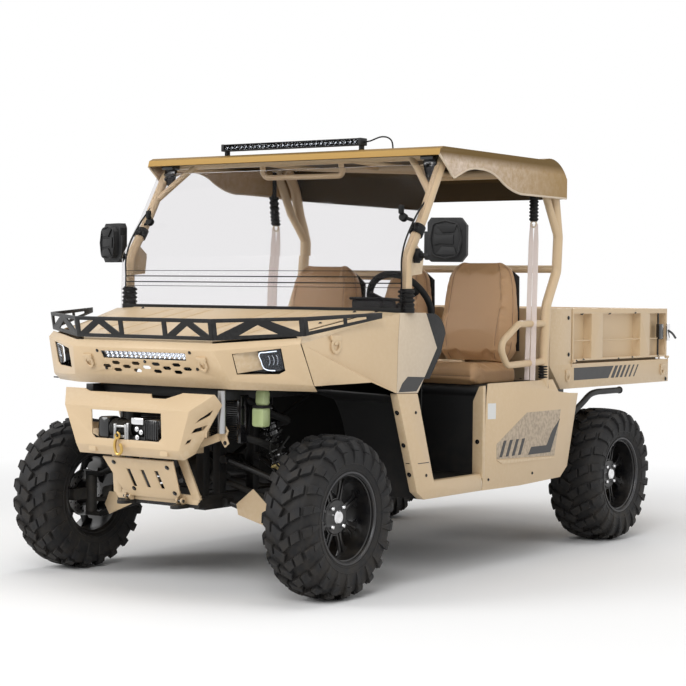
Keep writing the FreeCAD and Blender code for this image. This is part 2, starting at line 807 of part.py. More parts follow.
middle_facet = Facet("top_mid_r", "top_mid_l", "low_mid_r")
corner_facet = Facet("top_mid_l", "top_out_l", "low_mid_l")
middle_along = 391
slot_corners = [(middle_along - 238, 17), (middle_along + 238, 17), (middle_along + 232, 52),
                (middle_along - 232, 52)]
lamp_opening = [(78, 20), (283, 12), (290, 108), (262, 120), (88, 108)]
lamp_lens = [(182, 22), (278, 18), (284, 102), (258, 112), (196, 96)]


hex_half, hex_flat, hex_rise = 23.5, 15, 8.5


def hexagon(along, down):
    """A six-sided hole drawn out sideways."""
    return [(along - hex_half, down), (along - hex_flat, down - hex_rise), (along + hex_flat, down - hex_rise),
            (along + hex_half, down), (along + hex_flat, down + hex_rise), (along - hex_flat, down + hex_rise)]


openings = [middle_facet.prism(slot_corners, -30, 20)]
hex_pitch = 113
hex_row = 17
for row, count in enumerate((4, 5, 4)):
    for i in range(count):
        along = middle_along + (i - (count - 1) / 2) * hex_pitch
        openings.append(middle_facet.prism(hexagon(along, 73 + row * hex_row), -30, 20))
lamp_hole = corner_facet.prism(lamp_opening, -30, 20)
fascia = fascia.cut(openings + [lamp_hole, opposite(lamp_hole)])
feature("front_fascia", fascia)


def widened(corners, margin):
    """The same outline moved out by a margin from its middle."""
    middle = [sum(corner[i] for corner in corners) / len(corners) for i in (0, 1)]
    return [tuple(c + math.copysign(margin, c - m) for c, m in zip(corner, middle)) for corner in corners]


# Headlamps: a tray behind each opening with its lens, and the light strip behind the slot.
behind = -float(dim.panel) - float(dim.fit_gap)
tray = corner_facet.prism(widened(lamp_opening, 5), -50, behind)
tray = tray.cut(corner_facet.prism(lamp_opening, -44, 10))
lens = corner_facet.prism(lamp_lens, -44, -12)
lamp = tray.fuse(lens)
strip = middle_facet.prism(widened(slot_corners, 5), -24, behind)
strip = strip.cut(middle_facet.prism(slot_corners, -12, 10))
feature("headlamps", Part.makeCompound([lamp, opposite(lamp), strip]))

# Front side panels and the hood between them. The top surface is one slope.
hood_slope = 0.186


def top_height(y):
    """Height of the hood slope at a place along Y."""
    return 1066 + hood_slope * (float(y) - float(front(-370)))


cab_x = dim.body_half_width
crease_x = cab_x + 8
shoulder_x = cab_x - 12
seam = dim.fit_gap + 1.7
corner_seam = dim.fit_gap + 9
cowl_z = dim.cowl_top
cowl_front = front(358)
cowl_rear = front(562)
side_panel = folded_sheet({
    "top_front": (709, front(-211) + corner_seam, 1066), "low_front": (733, front(-150.6) + corner_seam, 892),
    "low_arch": (cab_x, front(135), 902), "seam_low": (cab_x, front(322) - seam, 849),
    "seam_mid": (crease_x, front(317) - seam, 1082), "seam_top": (shoulder_x, cowl_front - seam, cowl_z),
    "in_front": (650, front(-168), top_height(front(-168))), "in_rear": (708, cowl_front - seam, cowl_z + 4),
}, [
    ("top_front", "low_front", "low_arch", "seam_low", "seam_mid"),
    ("top_front", "seam_mid", "seam_top"),
    ("top_front", "seam_top", "in_rear", "in_front"),
], dim.panel)
feature("front_side_panels", both_sides(side_panel))

# Cowl: the shelf that carries the windshield and its pillars, and the upper side panels.
shelf = block((-708, cowl_front, cowl_z - dim.panel), (708, cowl_rear, cowl_z))
cowl_side = folded_sheet({
    "seam_top": (shoulder_x, cowl_front, cowl_z), "seam_mid": (crease_x, front(317), 1082),
    "seam_low": (cab_x, front(322), 849), "rear_low": (cab_x, front(486), 845),
    "rear_mid": (crease_x, front(623), 1038), "rear_top": (shoulder_x, cowl_rear, cowl_z),
    "in_front": (700, cowl_front, cowl_z), "in_rear": (700, cowl_rear, cowl_z),
}, [
    ("seam_top", "seam_mid", "rear_mid", "rear_top"),
    ("seam_mid", "seam_low", "rear_low", "rear_mid"),
    ("in_front", "seam_top", "rear_top", "in_rear"),
], dim.panel)
hinge_y = cowl_front - 7
hinge_z = cowl_z - 10
ears = []
for side in (1, -1):
    ear_x = side * dim.hood_hinge_half
    ear = round_bar(dim.hinge_barrel, (ear_x - 6, hinge_y, hinge_z), 12, "X")
    ear = ear.fuse(block((ear_x - 6, hinge_y, hinge_z - dim.hinge_barrel),
                         (ear_x + 6, cowl_front + 20, cowl_z - dim.panel)))
    ears.append(ear.cut(round_bar(dim.hinge_pin + dim.pin_gap, (ear_x - 20, hinge_y, hinge_z), 40, "X")))
cowl = join([shelf, cowl_side, opposite(cowl_side)] + ears)
feature("cowl_panels", cowl)

# Hood lid: hinged along its rear edge, with long pressed grooves in its top.
hood_rear = cowl_front - dim.shut_gap - 10
hood_front = front(-350)
hood_wide = {"front": 360, "side": 630, "rear": 694}
lid = folded_sheet({
    "front_l": (hood_wide["front"], hood_front, top_height(hood_front)),
    "front_r": (-hood_wide["front"], hood_front, top_height(hood_front)),
    "side_l": (hood_wide["side"], front(-158), top_height(front(-158))),
    "side_r": (-hood_wide["side"], front(-158), top_height(front(-158))),
    "rear_l": (hood_wide["rear"], hood_rear, top_height(hood_rear)),
    "rear_r": (-hood_wide["rear"], hood_rear, top_height(hood_rear)),
    "skirt_l": (hood_wide["front"], hood_front - 5, top_height(hood_front) - 12),
    "skirt_r": (-hood_wide["front"], hood_front - 5, top_height(hood_front) - 12),
}, [
    ("front_r", "front_l", "side_l", "rear_l", "rear_r", "side_r"),
    ("skirt_r", "skirt_l", "front_l", "front_r"),
], dim.panel)
groove_start = front(-270)
groove_end = front(300)
for middle in (-420, -300, -180, 180, 300, 420):
    begin = front(-180) if abs(middle) > 400 else groove_start
    lid = lid.cut(prism([
        (middle - 14, begin, top_height(begin) - 2), (middle - 14, groove_end, top_height(groove_end) - 2),
        (middle - 14, groove_end, top_height(groove_end) + 6), (middle - 14, begin, top_height(begin) + 6)],
        (28, 0, 0)))
arms = []
for side in (1, -1):
    arm_x = side * (dim.hood_hinge_half + 12)
    arm = prism([
        (arm_x - 4, hood_rear - 30, top_height(hood_rear - 30) - 3),
        (arm_x - 4, hood_rear - 1, top_height(hood_rear - 1) - 3),
        (arm_x - 4, hinge_y, hinge_z + 5), (arm_x - 4, hinge_y, hinge_z - 5),
        (arm_x - 4, hood_rear - 30, hinge_z - 5)], (8, 0, 0))
    arms.append(arm.fuse(strut((side * (dim.hood_hinge_half - 8), hinge_y, hinge_z),
                               (arm_x + side * 4, hinge_y, hinge_z), dim.hinge_pin)))
feature("hood", join([lid] + arms))

# Hood guard: a flat plate over each facet of the nose, cut through to wide bars.
guard_top = [(829, front(199), 1194), (711, front(-193), 1175), (381, front(-383), 1162)]
guard_low = [(829, front(199), 1170), (711, front(-180), 1097), (380, front(-366), guard_low_z)]
guard_top = guard_top + [(-x, y, z) for x, y, z in reversed(guard_top)]
guard_low = guard_low + [(-x, y, z) for x, y, z in reversed(guard_low)]
guard_thick = 6


def guard_spot(run, along, rise):
    """A place on one plate of the guard: its share along, and its share up from the low edge."""
    low_end, high_end = [[vec(*spots[i]) for i in (run, run + 1)] for spots in (guard_low, guard_top)]
    low = low_end[0] + (low_end[1] - low_end[0]) * along
    high = high_end[0] + (high_end[1] - high_end[0]) * along
    return low + (high - low) * rise


def guard_plate(run, windows):
    """A plate between the guard's corners, with three- and four-sided windows given by their shares."""
    base = guard_spot(run, 0, 0)
    normal = (guard_spot(run, 1, 0) - base).cross(guard_spot(run, 0, 1) - base).normalize()
    if normal.y > 0:
        normal = normal * -1

    def solid(corners, near, far):
        spots = [guard_spot(run, along, rise) for along, rise in corners]
        spots = [spot - normal * ((spot - base).dot(normal) - near) for spot in spots]
        return Part.Face(Part.makePolygon(spots + spots[:1])).extrude(normal * (far - near))

    reach = guard_thick / 2
    sheet = solid(((0, 0), (1, 0), (1, 1), (0, 1)), -reach, reach)
    return sheet.cut([solid(window, -reach - 4, reach + 4) for window in windows])


def swapped(windows):
    """The same windows for the plate of the other side."""
    return [[(1 - along, rise) for along, rise in window] for window in windows]


def bay(first, last, foot_width, head_width):
    """Three windows of one bay: a triangle standing on the low rail between two hanging ones."""
    middle = (first + last) / 2
    foot = 0.17
    head = 0.82
    return [
        [(first + foot_width, foot), (last - foot_width, foot), (middle, 0.66)],
        [(first, foot + 0.06), (middle - head_width, head), (first, head)],
        [(last, foot + 0.06), (last, head), (middle + head_width, head)],
    ]


middle_bays = bay(0.025, 0.325, 0.06, 0.04) + bay(0.675, 0.975, 0.06, 0.04)
middle_bays.append([(0.355, 0.17), (0.645, 0.17), (0.645, 0.82), (0.355, 0.82)])
corner_bays = bay(0.055, 0.955, 0.235, 0.14)
side_bays = [[(0.50, 0.24), (0.955, 0.20), (0.955, 0.76), (0.50, 0.70)],
             [(0.20, 0.34), (0.46, 0.26), (0.46, 0.68), (0.20, 0.60)]]
guard_plates = []
for run, windows in ((0, side_bays), (1, corner_bays), (2, middle_bays), (3, swapped(corner_bays)),
                     (4, swapped(side_bays))):
    guard_plates.append(guard_plate(run, windows))
feature("hood_guard", join(guard_plates))

# Dashboard: a moulding from door to door below the windshield, bored for the steering column.
tilt = math.radians(float(dim.steering_tilt))
column_way = vec(0, -math.cos(tilt), -math.sin(tilt))
wheel_centre = vec(dim.steering_x, front(dim.steering_behind), dim.steering_height)
column_radius = 22
dash = plate("dashboard_body", "YZ", -sill_back, sill_back * 2, [
    (cowl_rear, cowl_z), (front(650), cowl_z - 4), (front(735), 1158, "arc"), (front(768), 1100),
    (front(730), 1010), (front(640), 900), (front(580), 900), (cowl_rear, 960)])
column_bore = raw("column_bore", Part.makeCylinder(
    column_radius + float(dim.fit_gap), 500, wheel_centre, column_way))
keep(cut("dashboard", dash, column_bore), "dashboard")

# Door post and sill of each side: one folded box section.
sill_edge_x = cab_x - 10
post_points = {
    "front_top": (cab_x, front(326), 849 - seam), "rear_top": (cab_x, front(486), 845 - seam),
    "rear_low": (cab_x, front(618), 470), "corner": (sill_edge_x, front(624), dim.sill_top),
    "step_end": (sill_edge_x, rear(-1387) - seam, dim.sill_top),
    "bend_front": (cab_x, front(640), dim.sill_top - 26), "bend_end": (cab_x, rear(-1387) - seam, dim.sill_top - 26),
    "low_end": (cab_x, rear(-1389) - seam, dim.sill_low), "low_front": (cab_x, front(547), dim.sill_low),
    "knee": (cab_x, front(488), 410),
}
post_sill = backed_panel(post_points, [
    ("front_top", "knee", "low_front", "bend_front", "rear_low", "rear_top"),
    ("rear_low", "bend_front", "corner"),
    ("low_front", "low_end", "bend_end", "bend_front"),
    ("bend_front", "bend_end", "step_end", "corner"),
], sill_back)
feature("sill_panels", both_sides(post_sill))

# Seat box side panel: a folded sheet with a slanted top band and the kick up over the rear wheel.
box_points = {
    "low_front": (cab_x, rear(-1389) + seam, dim.sill_low), "low_mid": (cab_x, rear(-1040), dim.sill_low - 4),
    "low_rear": (cab_x, rear(-645), 380), "rear_low": (cab_x, rear(-575), 430),
    "rear_top": (cab_x, rear(-471), 788), "wing": (cab_x, rear(-560), 792),
    "bend_rear": (cab_x, rear(-672), 803), "bend_front": (cab_x, rear(-1357), 805),
    "top_rear": (cab_x - 18, rear(-700), dim.seat_box_top), "top_front": (cab_x - 18, rear(-1318), dim.seat_box_top),
    "back_front": (sill_back, rear(-1318), dim.seat_box_top), "back_rear": (sill_back, rear(-1040), dim.seat_box_top),
    "foot_front": (sill_back, rear(-1389) + seam, dim.sill_low), "foot_mid": (sill_back, rear(-1040), dim.sill_low - 4),
}
seat_side = folded_sheet(box_points, [
    ("low_front", "low_mid", "low_rear", "rear_low", "rear_top", "wing", "bend_rear", "bend_front"),
    ("bend_front", "bend_rear", "top_rear", "top_front"),
    ("low_front", "foot_front", "foot_mid", "low_mid"),
], dim.panel)
seat_side = seat_side.cut(round_bar(dim.cage_radius + 1, (dim.cage_half_width, hoop_station, 600), 400, "Z"))
feature("seat_box_panels", both_sides(seat_side))

# Seat box: the closed base under the bench.
box_half = dim.seat_box_half
base_top = dim.seat_box_top - 13
seat_base = plate("seat_base_body", "YZ", -box_half, box_half * 2, [
    (floor_rear, floor_under), (rear(-1260), 800), (rear(-1262), 834, "arc"), (rear(-1240), base_top),
    (rear(-660), base_top), (rear(-650), floor_under)])
keep(seat_base, "seat_base")

# Bench: a cushion and three seat backs, each a closed solid.
cushion_half = 716
cushion_low = base_top + dim.fit_gap
cushion_top = 930
bench = [plate("cushion_body", "YZ", -cushion_half, cushion_half * 2, [
    (rear(-1290), 880), (rear(-1304), 930, "arc"), (rear(-1250), 950), (rear(-1100), 930, "arc"),
    (rear(-960), cushion_top), (rear(-850), cushion_top), (rear(-845), cushion_low), (rear(-1235), cushion_low)])]
for count, (middle, half_wide, top) in enumerate(((496, 222, 1454), (20, 205, 1436), (-496, 222, 1454))):
    bench.append(plate("seat_back_%d" % count, "YZ", middle - half_wide, half_wide * 2, [
        (rear(-950), cushion_top + dim.fit_gap), (rear(-968), 1040, "arc"), (rear(-930), 1200),
        (rear(-905), top - 22), (rear(-868), top, "arc"), (rear(-824), top - 30),
        (rear(-806), 960), (rear(-852), cushion_top + dim.fit_gap)]))
keep(group("bench_seat", bench), "bench_seat")

# Cage: pillars and header in front, the hoop behind the seats, and the rails between.
cage_x = dim.cage_half_width
tube_radius = dim.cage_radius
brace = dim.brace_radius
bend = dim.bend_radius
fit = dim.fit_gap
roof_under = dim.roof_top - dim.roof_wall
header_y = front(722)
header_z = roof_under - tube_radius - fit
knee = (cage_x, front(430), 1430)
elbow = (cage_x, front(552), 1609)
pillar = tube([(cage_x, front(430), cowl_z), knee, elbow, (cage_x, header_y, header_z)], tube_radius, bend)
header = round_bar(tube_radius, (-cage_x, header_y, header_z), cage_x * 2, "X")
gusset = prism([
    (cage_x - 3, front(436), 1350), (cage_x - 3, front(548), 1362), (cage_x - 3, front(562), 1448),
    (cage_x - 3, front(486), 1500)], (6, 0, 0))
corner_brace = strut((cage_x, front(611), 1708), (620, header_y, header_z), brace)
grab = tube([(230, header_y, header_z), (230, front(745), header_z - 84), (-230, front(745), header_z - 84),
             (-230, header_y, header_z)], brace - 3, 30)
front_side = pillar.fuse([gusset, corner_brace])
feature("cage_front", front_side.fuse([opposite(front_side), header, grab]))

top_bar_y = rear(-760)
top_bar_z = dim.roof_top - 53
hoop_foot_z = floor_under
hoop = tube([
    (cage_x, hoop_station, hoop_foot_z), (cage_x, hoop_station, 1000), (cage_x, rear(-754), 1228),
    (cage_x, rear(-657), 1392), (cage_x, rear(-646), 1560), (cage_x, rear(-690), dim.roof_top - 145),
    (cage_x, top_bar_y, top_bar_z)], tube_radius, bend)
hip = tube([
    (cage_x, rear(-776), 1138), (cage_x, rear(-1022), 1136), (cage_x, rear(-1204), 1038),
    (cage_x, rear(-1126), 941), (cage_x, rear(-776), 952)], brace, 50)
hoop_brace = strut((cage_x, rear(-650), 1562), (cage_x, rear(-838), dim.roof_top - 65), brace + 3)
belt_bar = round_bar(brace + 3, (-cage_x, rear(-657), 1404), cage_x * 2, "X")
top_bar = round_bar(tube_radius, (-cage_x, top_bar_y, top_bar_z), cage_x * 2, "X")
hoop_side = hoop.fuse([hip, hoop_brace])
feature("cage_rear", hoop_side.fuse([opposite(hoop_side), belt_bar, top_bar]))

rail_start = header_y + tube_radius + fit
rail_end = top_bar_y - tube_radius - fit


def roof_rail(x, radius):
    return strut((x, rail_start, header_z), (x, rail_end, top_bar_z + 1), radius)


hole_for_brace = Part.makeCylinder(
    brace + 3 + float(fit), 400, vec(cage_x, rear(-650), 1562),
    vec(cage_x, rear(-838), dim.roof_top - 65) - vec(cage_x, rear(-650), 1562))
side_rail = roof_rail(cage_x, tube_radius).cut(hole_for_brace)
side_rail = max(side_rail.Solids, key=lambda solid: solid.Volume)
feature("cage_rails", both_sides(Part.makeCompound([side_rail, roof_rail(250, brace)])))

# Roof: a thin moulding with two raised scoops, a rolled rear edge and a wave cut in each side skirt.
roof_half = cab_x + 20
roof_top = dim.roof_top
roof_wall = dim.roof_wall
skirt_low = dim.roof_low


def roof_outline(inset):
    """Side view of the roof from its front lip to its tail; the inset one is the hollow under it."""
    return [
        (front(604) + inset, roof_top - 39), (front(612) + inset, roof_top - 12 - inset),
        (front(640), roof_top - inset), (rear(-880), roof_top - inset),
        (rear(-706) - inset, roof_top - 26 - inset, "arc"), (rear(-650) - inset, roof_top - 84 - inset)]


outer_edge = roof_outline(0) + [
    (rear(-650), skirt_low), (rear(-1095), skirt_low), (front(1240), skirt_low + 14, "arc"),
    (front(1150), skirt_low + 46), (front(1060), skirt_low + 82, "arc"), (front(950), skirt_low + 94),
    (front(860), skirt_low + 88, "arc"), (front(790), skirt_low + 66), (front(722), skirt_low + 40),
    (front(690), skirt_low + 72)]
inner_edge = roof_outline(roof_wall) + [(rear(-650) - roof_wall, skirt_low - 46),
                                        (front(604) + roof_wall, skirt_low - 46)]
roof_body = plate("roof_panel", "YZ", -roof_half, roof_half * 2, outer_edge)
hollow = sketch(roof_body, "roof_hollow", "YZ", roof_wall - roof_half)
outline(hollow, inner_edge)
pocket(roof_body, hollow, (roof_half - roof_wall) * 2)
keep(roof_body, "roof_panel")

# Windshield: a clear sheet in front of the pillars, folded where they bend.
shield_half = cab_x - 8
shield_gap = 8
knee_y = front(430) - tube_radius - shield_gap
shield = plate("windshield_body", "YZ", -shield_half, shield_half * 2, [
    (front(386), cowl_z + fit), (front(391), cowl_z + fit), (knee_y, 1440), (front(525.5), 1627),
    (front(656), 1847), (front(651.5), 1849.5), (front(521), 1630), (knee_y - 5, 1442)])
keep(shield, "windshield")

# Pillar boots, and the clamps between the pillars and the windshield.
boot_steps = ((0, 18, 37), (18, 40, 34), (40, 62, 31), (62, 104, 29))
boot = join([round_bar(radius, (cage_x, front(430), cowl_z + low), high - low, "Z")
             for low, high, radius in boot_steps])
boot = boot.cut(round_bar(tube_radius + fit, (cage_x, front(430), cowl_z - 20), 200, "Z"))
clamp_way = (vec(*elbow) - vec(*knee)).normalize()
clamp_at = vec(*knee) + clamp_way * 122
clamp = Part.makeCylinder(tube_radius + shield_gap - 1, 46, clamp_at, clamp_way)
clamp = clamp.cut(Part.makeCylinder(tube_radius + fit, 60, clamp_at - clamp_way * 6, clamp_way))
feature("windshield_clamps", both_sides(Part.makeCompound([boot, clamp])))

# Light bar on the roof front, on two feet, and its cable.
bar_y = front(662)
bar_half = 404
bar_body = box("bar_body", (-bar_half, bar_y - 20, roof_top + 22), (bar_half, bar_y + 20, roof_top + 52))
feet = [box("bar_foot_%d" % side, (side * 392 - 8, bar_y - 12, roof_top),
            (side * 392 + 8, bar_y + 12, roof_top + 30)) for side in (1, -1)]
keep(fuse("light_bar", [bar_body] + feet), "light_bar")
cable_radius = 3.5
cable_route = [(404, 662, 1962), (434, 662, 1962), (464, 664, 1973), (496, 668, 1983),
               (530, 674, 1979), (552, 679, 1957), (552, 679, 1925)]
cable_points = [(x, front(y), z) for x, y, z in cable_route]
feature("light_bar_cable", cord_tube(cable_points, cable_radius))

# Mirrors on short arms from the pillar gussets, their outer edges swung to the rear.
mirror_x = 963
mirror_y = front(500)
mirror_z = 1508
mirror_swing = 18
mirror_shells = []
for wide, high, near, far in ((86, 95, -22, 16), (64, 76, -44, -22)):
    mirror_shells.append(prism([
        (mirror_x - wide, mirror_y + near, mirror_z - high + 16), (mirror_x - wide + 18, mirror_y + near, mirror_z - high),
        (mirror_x + wide - 24, mirror_y + near, mirror_z - high), (mirror_x + wide, mirror_y + near, mirror_z - high + 30),
        (mirror_x + wide, mirror_y + near, mirror_z + high - 34), (mirror_x + wide - 26, mirror_y + near, mirror_z + high),
        (mirror_x - wide + 16, mirror_y + near, mirror_z + high), (mirror_x - wide, mirror_y + near, mirror_z + high - 22)],
        (0, far - near, 0)))
mirror_body = mirror_shells[0].fuse(mirror_shells[1])
mirror_body.rotate(vec(mirror_x, mirror_y, mirror_z), vec(0, 0, 1), mirror_swing)
mirror_arm = round_bar(11, (cage_x + 3, front(482), 1440), 104, "X")
feature("mirrors", both_sides(mirror_body.fuse(mirror_arm)))

# Winch bumper: a faceted sheet with side cheeks, a window for the winch and arms to the frame.
bumper_points = {
    "top_l": (417, front(-399), 854), "top_r": (-417, front(-399), 854),
    "brow_l": (347, front(-478), 786), "brow_r": (-347, front(-478), 786),
    "chin_l": (288, front(-469), 621), "chin_r": (-288, front(-469), 621),
    "low_l": (293, front(-441), 581), "low_r": (-293, front(-441), 581),
    "back_top_l": (423, front(-357), 810), "back_top_r": (-423, front(-357), 810),
    "back_low_l": (319, front(-402), 606), "back_low_r": (-319, front(-402), 606),
}
bumper = folded_sheet(bumper_points, [
    ("top_r", "brow_r", "brow_l", "top_l"),
    ("brow_r", "chin_r", "chin_l", "brow_l"),
    ("chin_r", "low_r", "low_l", "chin_l"),
    ("top_l", "brow_l", "chin_l", "low_l", "back_low_l", "back_top_l"),
    ("top_r", "back_top_r", "back_low_r", "low_r", "chin_r", "brow_r"),
], 5)
window = prism([
    (-193, front(-520), 668), (-176, front(-520), 652), (178, front(-520), 652), (195, front(-520), 668),
    (195, front(-520), 771), (-193, front(-520), 771)], (0, 90, 0))
notch = prism([
    (-300, front(-500), 870), (-300, front(-500), 851), (-270, front(-500), 843), (80, front(-500), 844),
    (100, front(-500), 828), (177, front(-500), 828), (244, front(-500), 852), (244, front(-500), 870)],
    (0, 130, 0))
bumper = bumper.cut([window, notch])
cheek_normal = panel_normal([vec(*bumper_points[name]) for name in ("brow_l", "chin_l", "back_top_l")])
cheek_corner = vec(*bumper_points["brow_l"])
cheek_slots = []
for corners in (
        ((348, -440, 735), (363, -427, 755), (400, -385, 791), (387, -392, 766)),
        ((330, -444, 693), (343, -434, 714), (374, -389, 728), (360, -399, 705)),
        ((307, -453, 646), (315, -450, 663), (327, -435, 672), (319, -437, 656))):
    marked = [vec(x, front(y), z) for x, y, z in corners]
    flat = [p - cheek_normal * (20 + (p - cheek_corner).dot(cheek_normal)) for p in marked]
    cheek_slots.append(prism([(p.x, p.y, p.z) for p in flat], cheek_normal * 40))
bumper = bumper.cut(cheek_slots + [opposite(slot) for slot in cheek_slots])
tray_top = 640
shelf_front = front(-464)
bumper_parts = [bumper, block((-235, shelf_front, tray_top - 6), (235, front(-352), tray_top))]
for side in (1, -1):
    bumper_parts.append(block((side * 180, shelf_front, tray_top - 46), (side * 220, frame_front, tray_top - 6)))
    tower_side = rail_x + half_post + fit
    bumper_parts.append(prism([
        (side * tower_side, front(-228), 626), (side * tower_side, front(-194), 640),
        (side * tower_side, front(-192), 700), (side * tower_side, front(-216), 714),
        (side * tower_side, front(-244), 704), (side * tower_side, front(-244), 676)], (side * 6, 0, 0)))
    bumper_parts.append(prism([
        (side * tower_side, front(-238), 676), (side * (tower_side + 6), front(-238), 676),
        (side * 366, front(-386), 676), (side * 360, front(-390), 676)], (0, 0, 28)))
feature("winch_bumper", join(bumper_parts))

# Winch behind the window: a drum between its motor and its gear case.
winch_y = front(-412)
winch_z = tray_top + 58
winch = join([
    round_bar(30, (-75, winch_y, winch_z), 150, "X"),
    round_bar(42, (75, winch_y, winch_z), 62, "X"),
    round_bar(42, (-83, winch_y, winch_z), 8, "X"),
    round_bar(36, (-159, winch_y, winch_z), 76, "X"),
    block((-165, winch_y - 38, tray_top), (145, winch_y + 38, tray_top + 24)),
])
feature("winch", winch)

# Skid plate on the nose: three slanted slots, on two gussets from the low cross beam.
skid = folded_sheet({
    "tl": (198, front(-402), 566), "tr": (-198, front(-402), 566),
    "ll": (161, front(-312), 420), "lr": (-161, front(-312), 420),
    "bl": (130, front(-300), 396), "br": (-130, front(-300), 396),
}, [("tr", "lr", "ll", "tl"), ("lr", "br", "bl", "ll")], 6)
skid_slots = [prism([
    (middle - 10, front(-460), 518), (middle + 10, front(-460), 518),
    (middle + 10, front(-460), 440), (middle - 10, front(-460), 440)], (0, 200, 0)) for middle in (-78, 0, 78)]
skid = skid.cut(skid_slots)
beam_face = front(-270)
skid_gussets = [prism([
    (side * 140 - 4, front(-396), 562), (side * 140 - 4, front(-304), 410), (side * 140 - 4, beam_face, 378),
    (side * 140 - 4, beam_face, 400), (side * 140 - 4, front(-372), 562)], (8, 0, 0)) for side in (1, -1)]

# Radiator behind the bumper, against the front towers, and the coolant bottle under the upper rail.
tower_back = frame_front + dim.post_size
radiator = block((-272, tower_back, 640), (272, tower_back + 46, 846))
grille = [block((-150, tower_back - 8, 655 + 24 * i), (150, tower_back + 1, 665 + 24 * i)) for i in range(7)]
bottle = block((nose_x - 46, front(-170), nose_low - 150), (nose_x + half_post, front(-134), nose_low))
feature("radiator", Part.makeCompound([radiator.fuse(grille), bottle]))

# Front arms: an upper and a lower wishbone on each side, from pivots on the frame to the kingpin.
arm_tube = 12
pivot_radius = 18
plate_half = 8


def wishbone(pivots, inner_x, inner_z, end_x, end_z, axle_y):
    """Two legs from pivots along Y that meet in one outer plate."""
    shapes = []
    for station in pivots:
        shapes.append(strut((inner_x, station, inner_z), (end_x, axle_y, end_z), arm_tube))
        shapes.append(round_bar(pivot_radius, (inner_x, station - 25, inner_z), 50, "Y"))
    return shapes


def spring_ears(x, y, z, height):
    """Two ears with a gap that a spring unit's eye fills."""
    gap_half = 20 + float(fit)
    return [block((x - 16, y + side * gap_half, z), (x + 16, y + side * (gap_half + 6), z + height))
            for side in (1, -1)]


tower_face = rail_x + half_post + pivot_radius + fit
rail_face = rail_x + half_rail + pivot_radius + fit
upper_z = knuckle_top + plate_half + fit
lower_z = knuckle_low - plate_half - fit
spring_x = 470
upper_pivot_z = 560
lower_pivot_z = dim.rail_low + 26
share = (spring_x - float(tower_face)) / (float(kingpin) - 56 - float(tower_face))
spring_z = upper_pivot_z + (float(upper_z) - upper_pivot_z) * share
upper = wishbone(pivot_stations, tower_face, upper_pivot_z, kingpin - 56, upper_z, front_axle)
upper.append(block((kingpin - 66, front(-16), upper_z - plate_half), (kingpin + 22, front(16), upper_z + plate_half)))
upper.append(block((spring_x - 16, front(-52), spring_z - 10), (spring_x + 16, front(56), spring_z + 6)))
upper += spring_ears(spring_x, front(0), spring_z + 6, 40)
lower = wishbone(pivot_stations, rail_face, lower_pivot_z, kingpin - 56, lower_z, front_axle)
lower.append(block((kingpin - 66, front(-16), lower_z - plate_half), (kingpin + 22, front(16), lower_z + plate_half)))
feature("front_arms", both_sides(Part.makeCompound([join(upper), join(lower)])))

# Skid plate, and a guard plate in front of each lower arm's front leg.
leg_start = vec(rail_face, pivot_stations[0], lower_pivot_z)
leg_end = vec(float(kingpin) - 56, front_axle, float(lower_z))
leg_lean = (leg_end.y - leg_start.y) / (leg_end.x - leg_start.x)
guard_lead = (arm_tube + float(fit)) * math.sqrt(1 + leg_lean ** 2)
guard_outline = ((296, 372), (369, 440), (440, 366), (486, 366), (524, 304), (486, 262), (304, 327))
guard_points = [(x, leg_start.y + (x - leg_start.x) * leg_lean - guard_lead, z) for x, z in guard_outline]
arm_guard = prism(guard_points, (0, -4, 0))
feature("front_skid_plate", Part.makeCompound([join([skid] + skid_gussets), arm_guard, opposite(arm_guard)]))

# Rear arms with the hub carrier and its stub.
rear_pivots = (rear(-110), rear(100))
carrier_x = kingpin - 40
rear_upper = wishbone(rear_pivots, tower_face, 540, carrier_x, axle_height + 88, rear_axle)
rear_upper.append(block((spring_x - 16, rear(-52), 466), (spring_x + 16, rear(52), 482)))
rear_upper += spring_ears(spring_x, rear(0), 482, 40)
rear_lower = wishbone(rear_pivots, rail_face, lower_pivot_z, carrier_x, axle_height - 72, rear_axle)
carrier = block((carrier_x, rear(-34), axle_height - 92), (kingpin + 8, rear(34), axle_height + 108))
stub_rear = strut((kingpin, rear_axle, axle_height), (hub_face - fit, rear_axle, axle_height), 24)
rear_side = join(rear_upper + rear_lower + [carrier, stub_rear])
feature("rear_arms", both_sides(rear_side))


# Shock absorbers: a damper inside a coil spring at each wheel, hung between ears.
def coil_over(top, bottom, coil_radius, turns):
    """A damper with its spring as stacked coils, and an eye at each end."""
    start = vec(*bottom)
    way = vec(*top) - start
    length = way.Length
    spring_start = 0.24 * length
    spring_end = 0.84 * length
    pitch = (spring_end - spring_start) / turns
    body_radius = 13
    points = [(0, 10), (body_radius, 10), (body_radius, spring_start - 12), (coil_radius, spring_start - 12),
              (coil_radius, spring_start - 4), (body_radius + 8, spring_start)]
    for i in range(turns):
        base = spring_start + pitch * i
        points += [(coil_radius - 3, base + pitch * 0.5), (body_radius + 8, base + pitch)]
    points += [(coil_radius, spring_end + 3), (coil_radius, spring_end + 10), (body_radius, spring_end + 10),
               (body_radius, length - 10), (0, length - 10)]
    face = Part.Face(Part.makePolygon([vec(x, 0, z) for x, z in points + points[:1]]))
    solid = face.revolve(vec(0, 0, 0), vec(0, 0, 1), 360)
    solid.Placement = FreeCAD.Placement(start, FreeCAD.Rotation(vec(0, 0, 1), way))
    eyes = [Part.makeCylinder(15, 40, vec(spot.x, spot.y - 20, spot.z), vec(0, 1, 0))
            for spot in (start, start + way)]
    return solid.fuse(eyes)


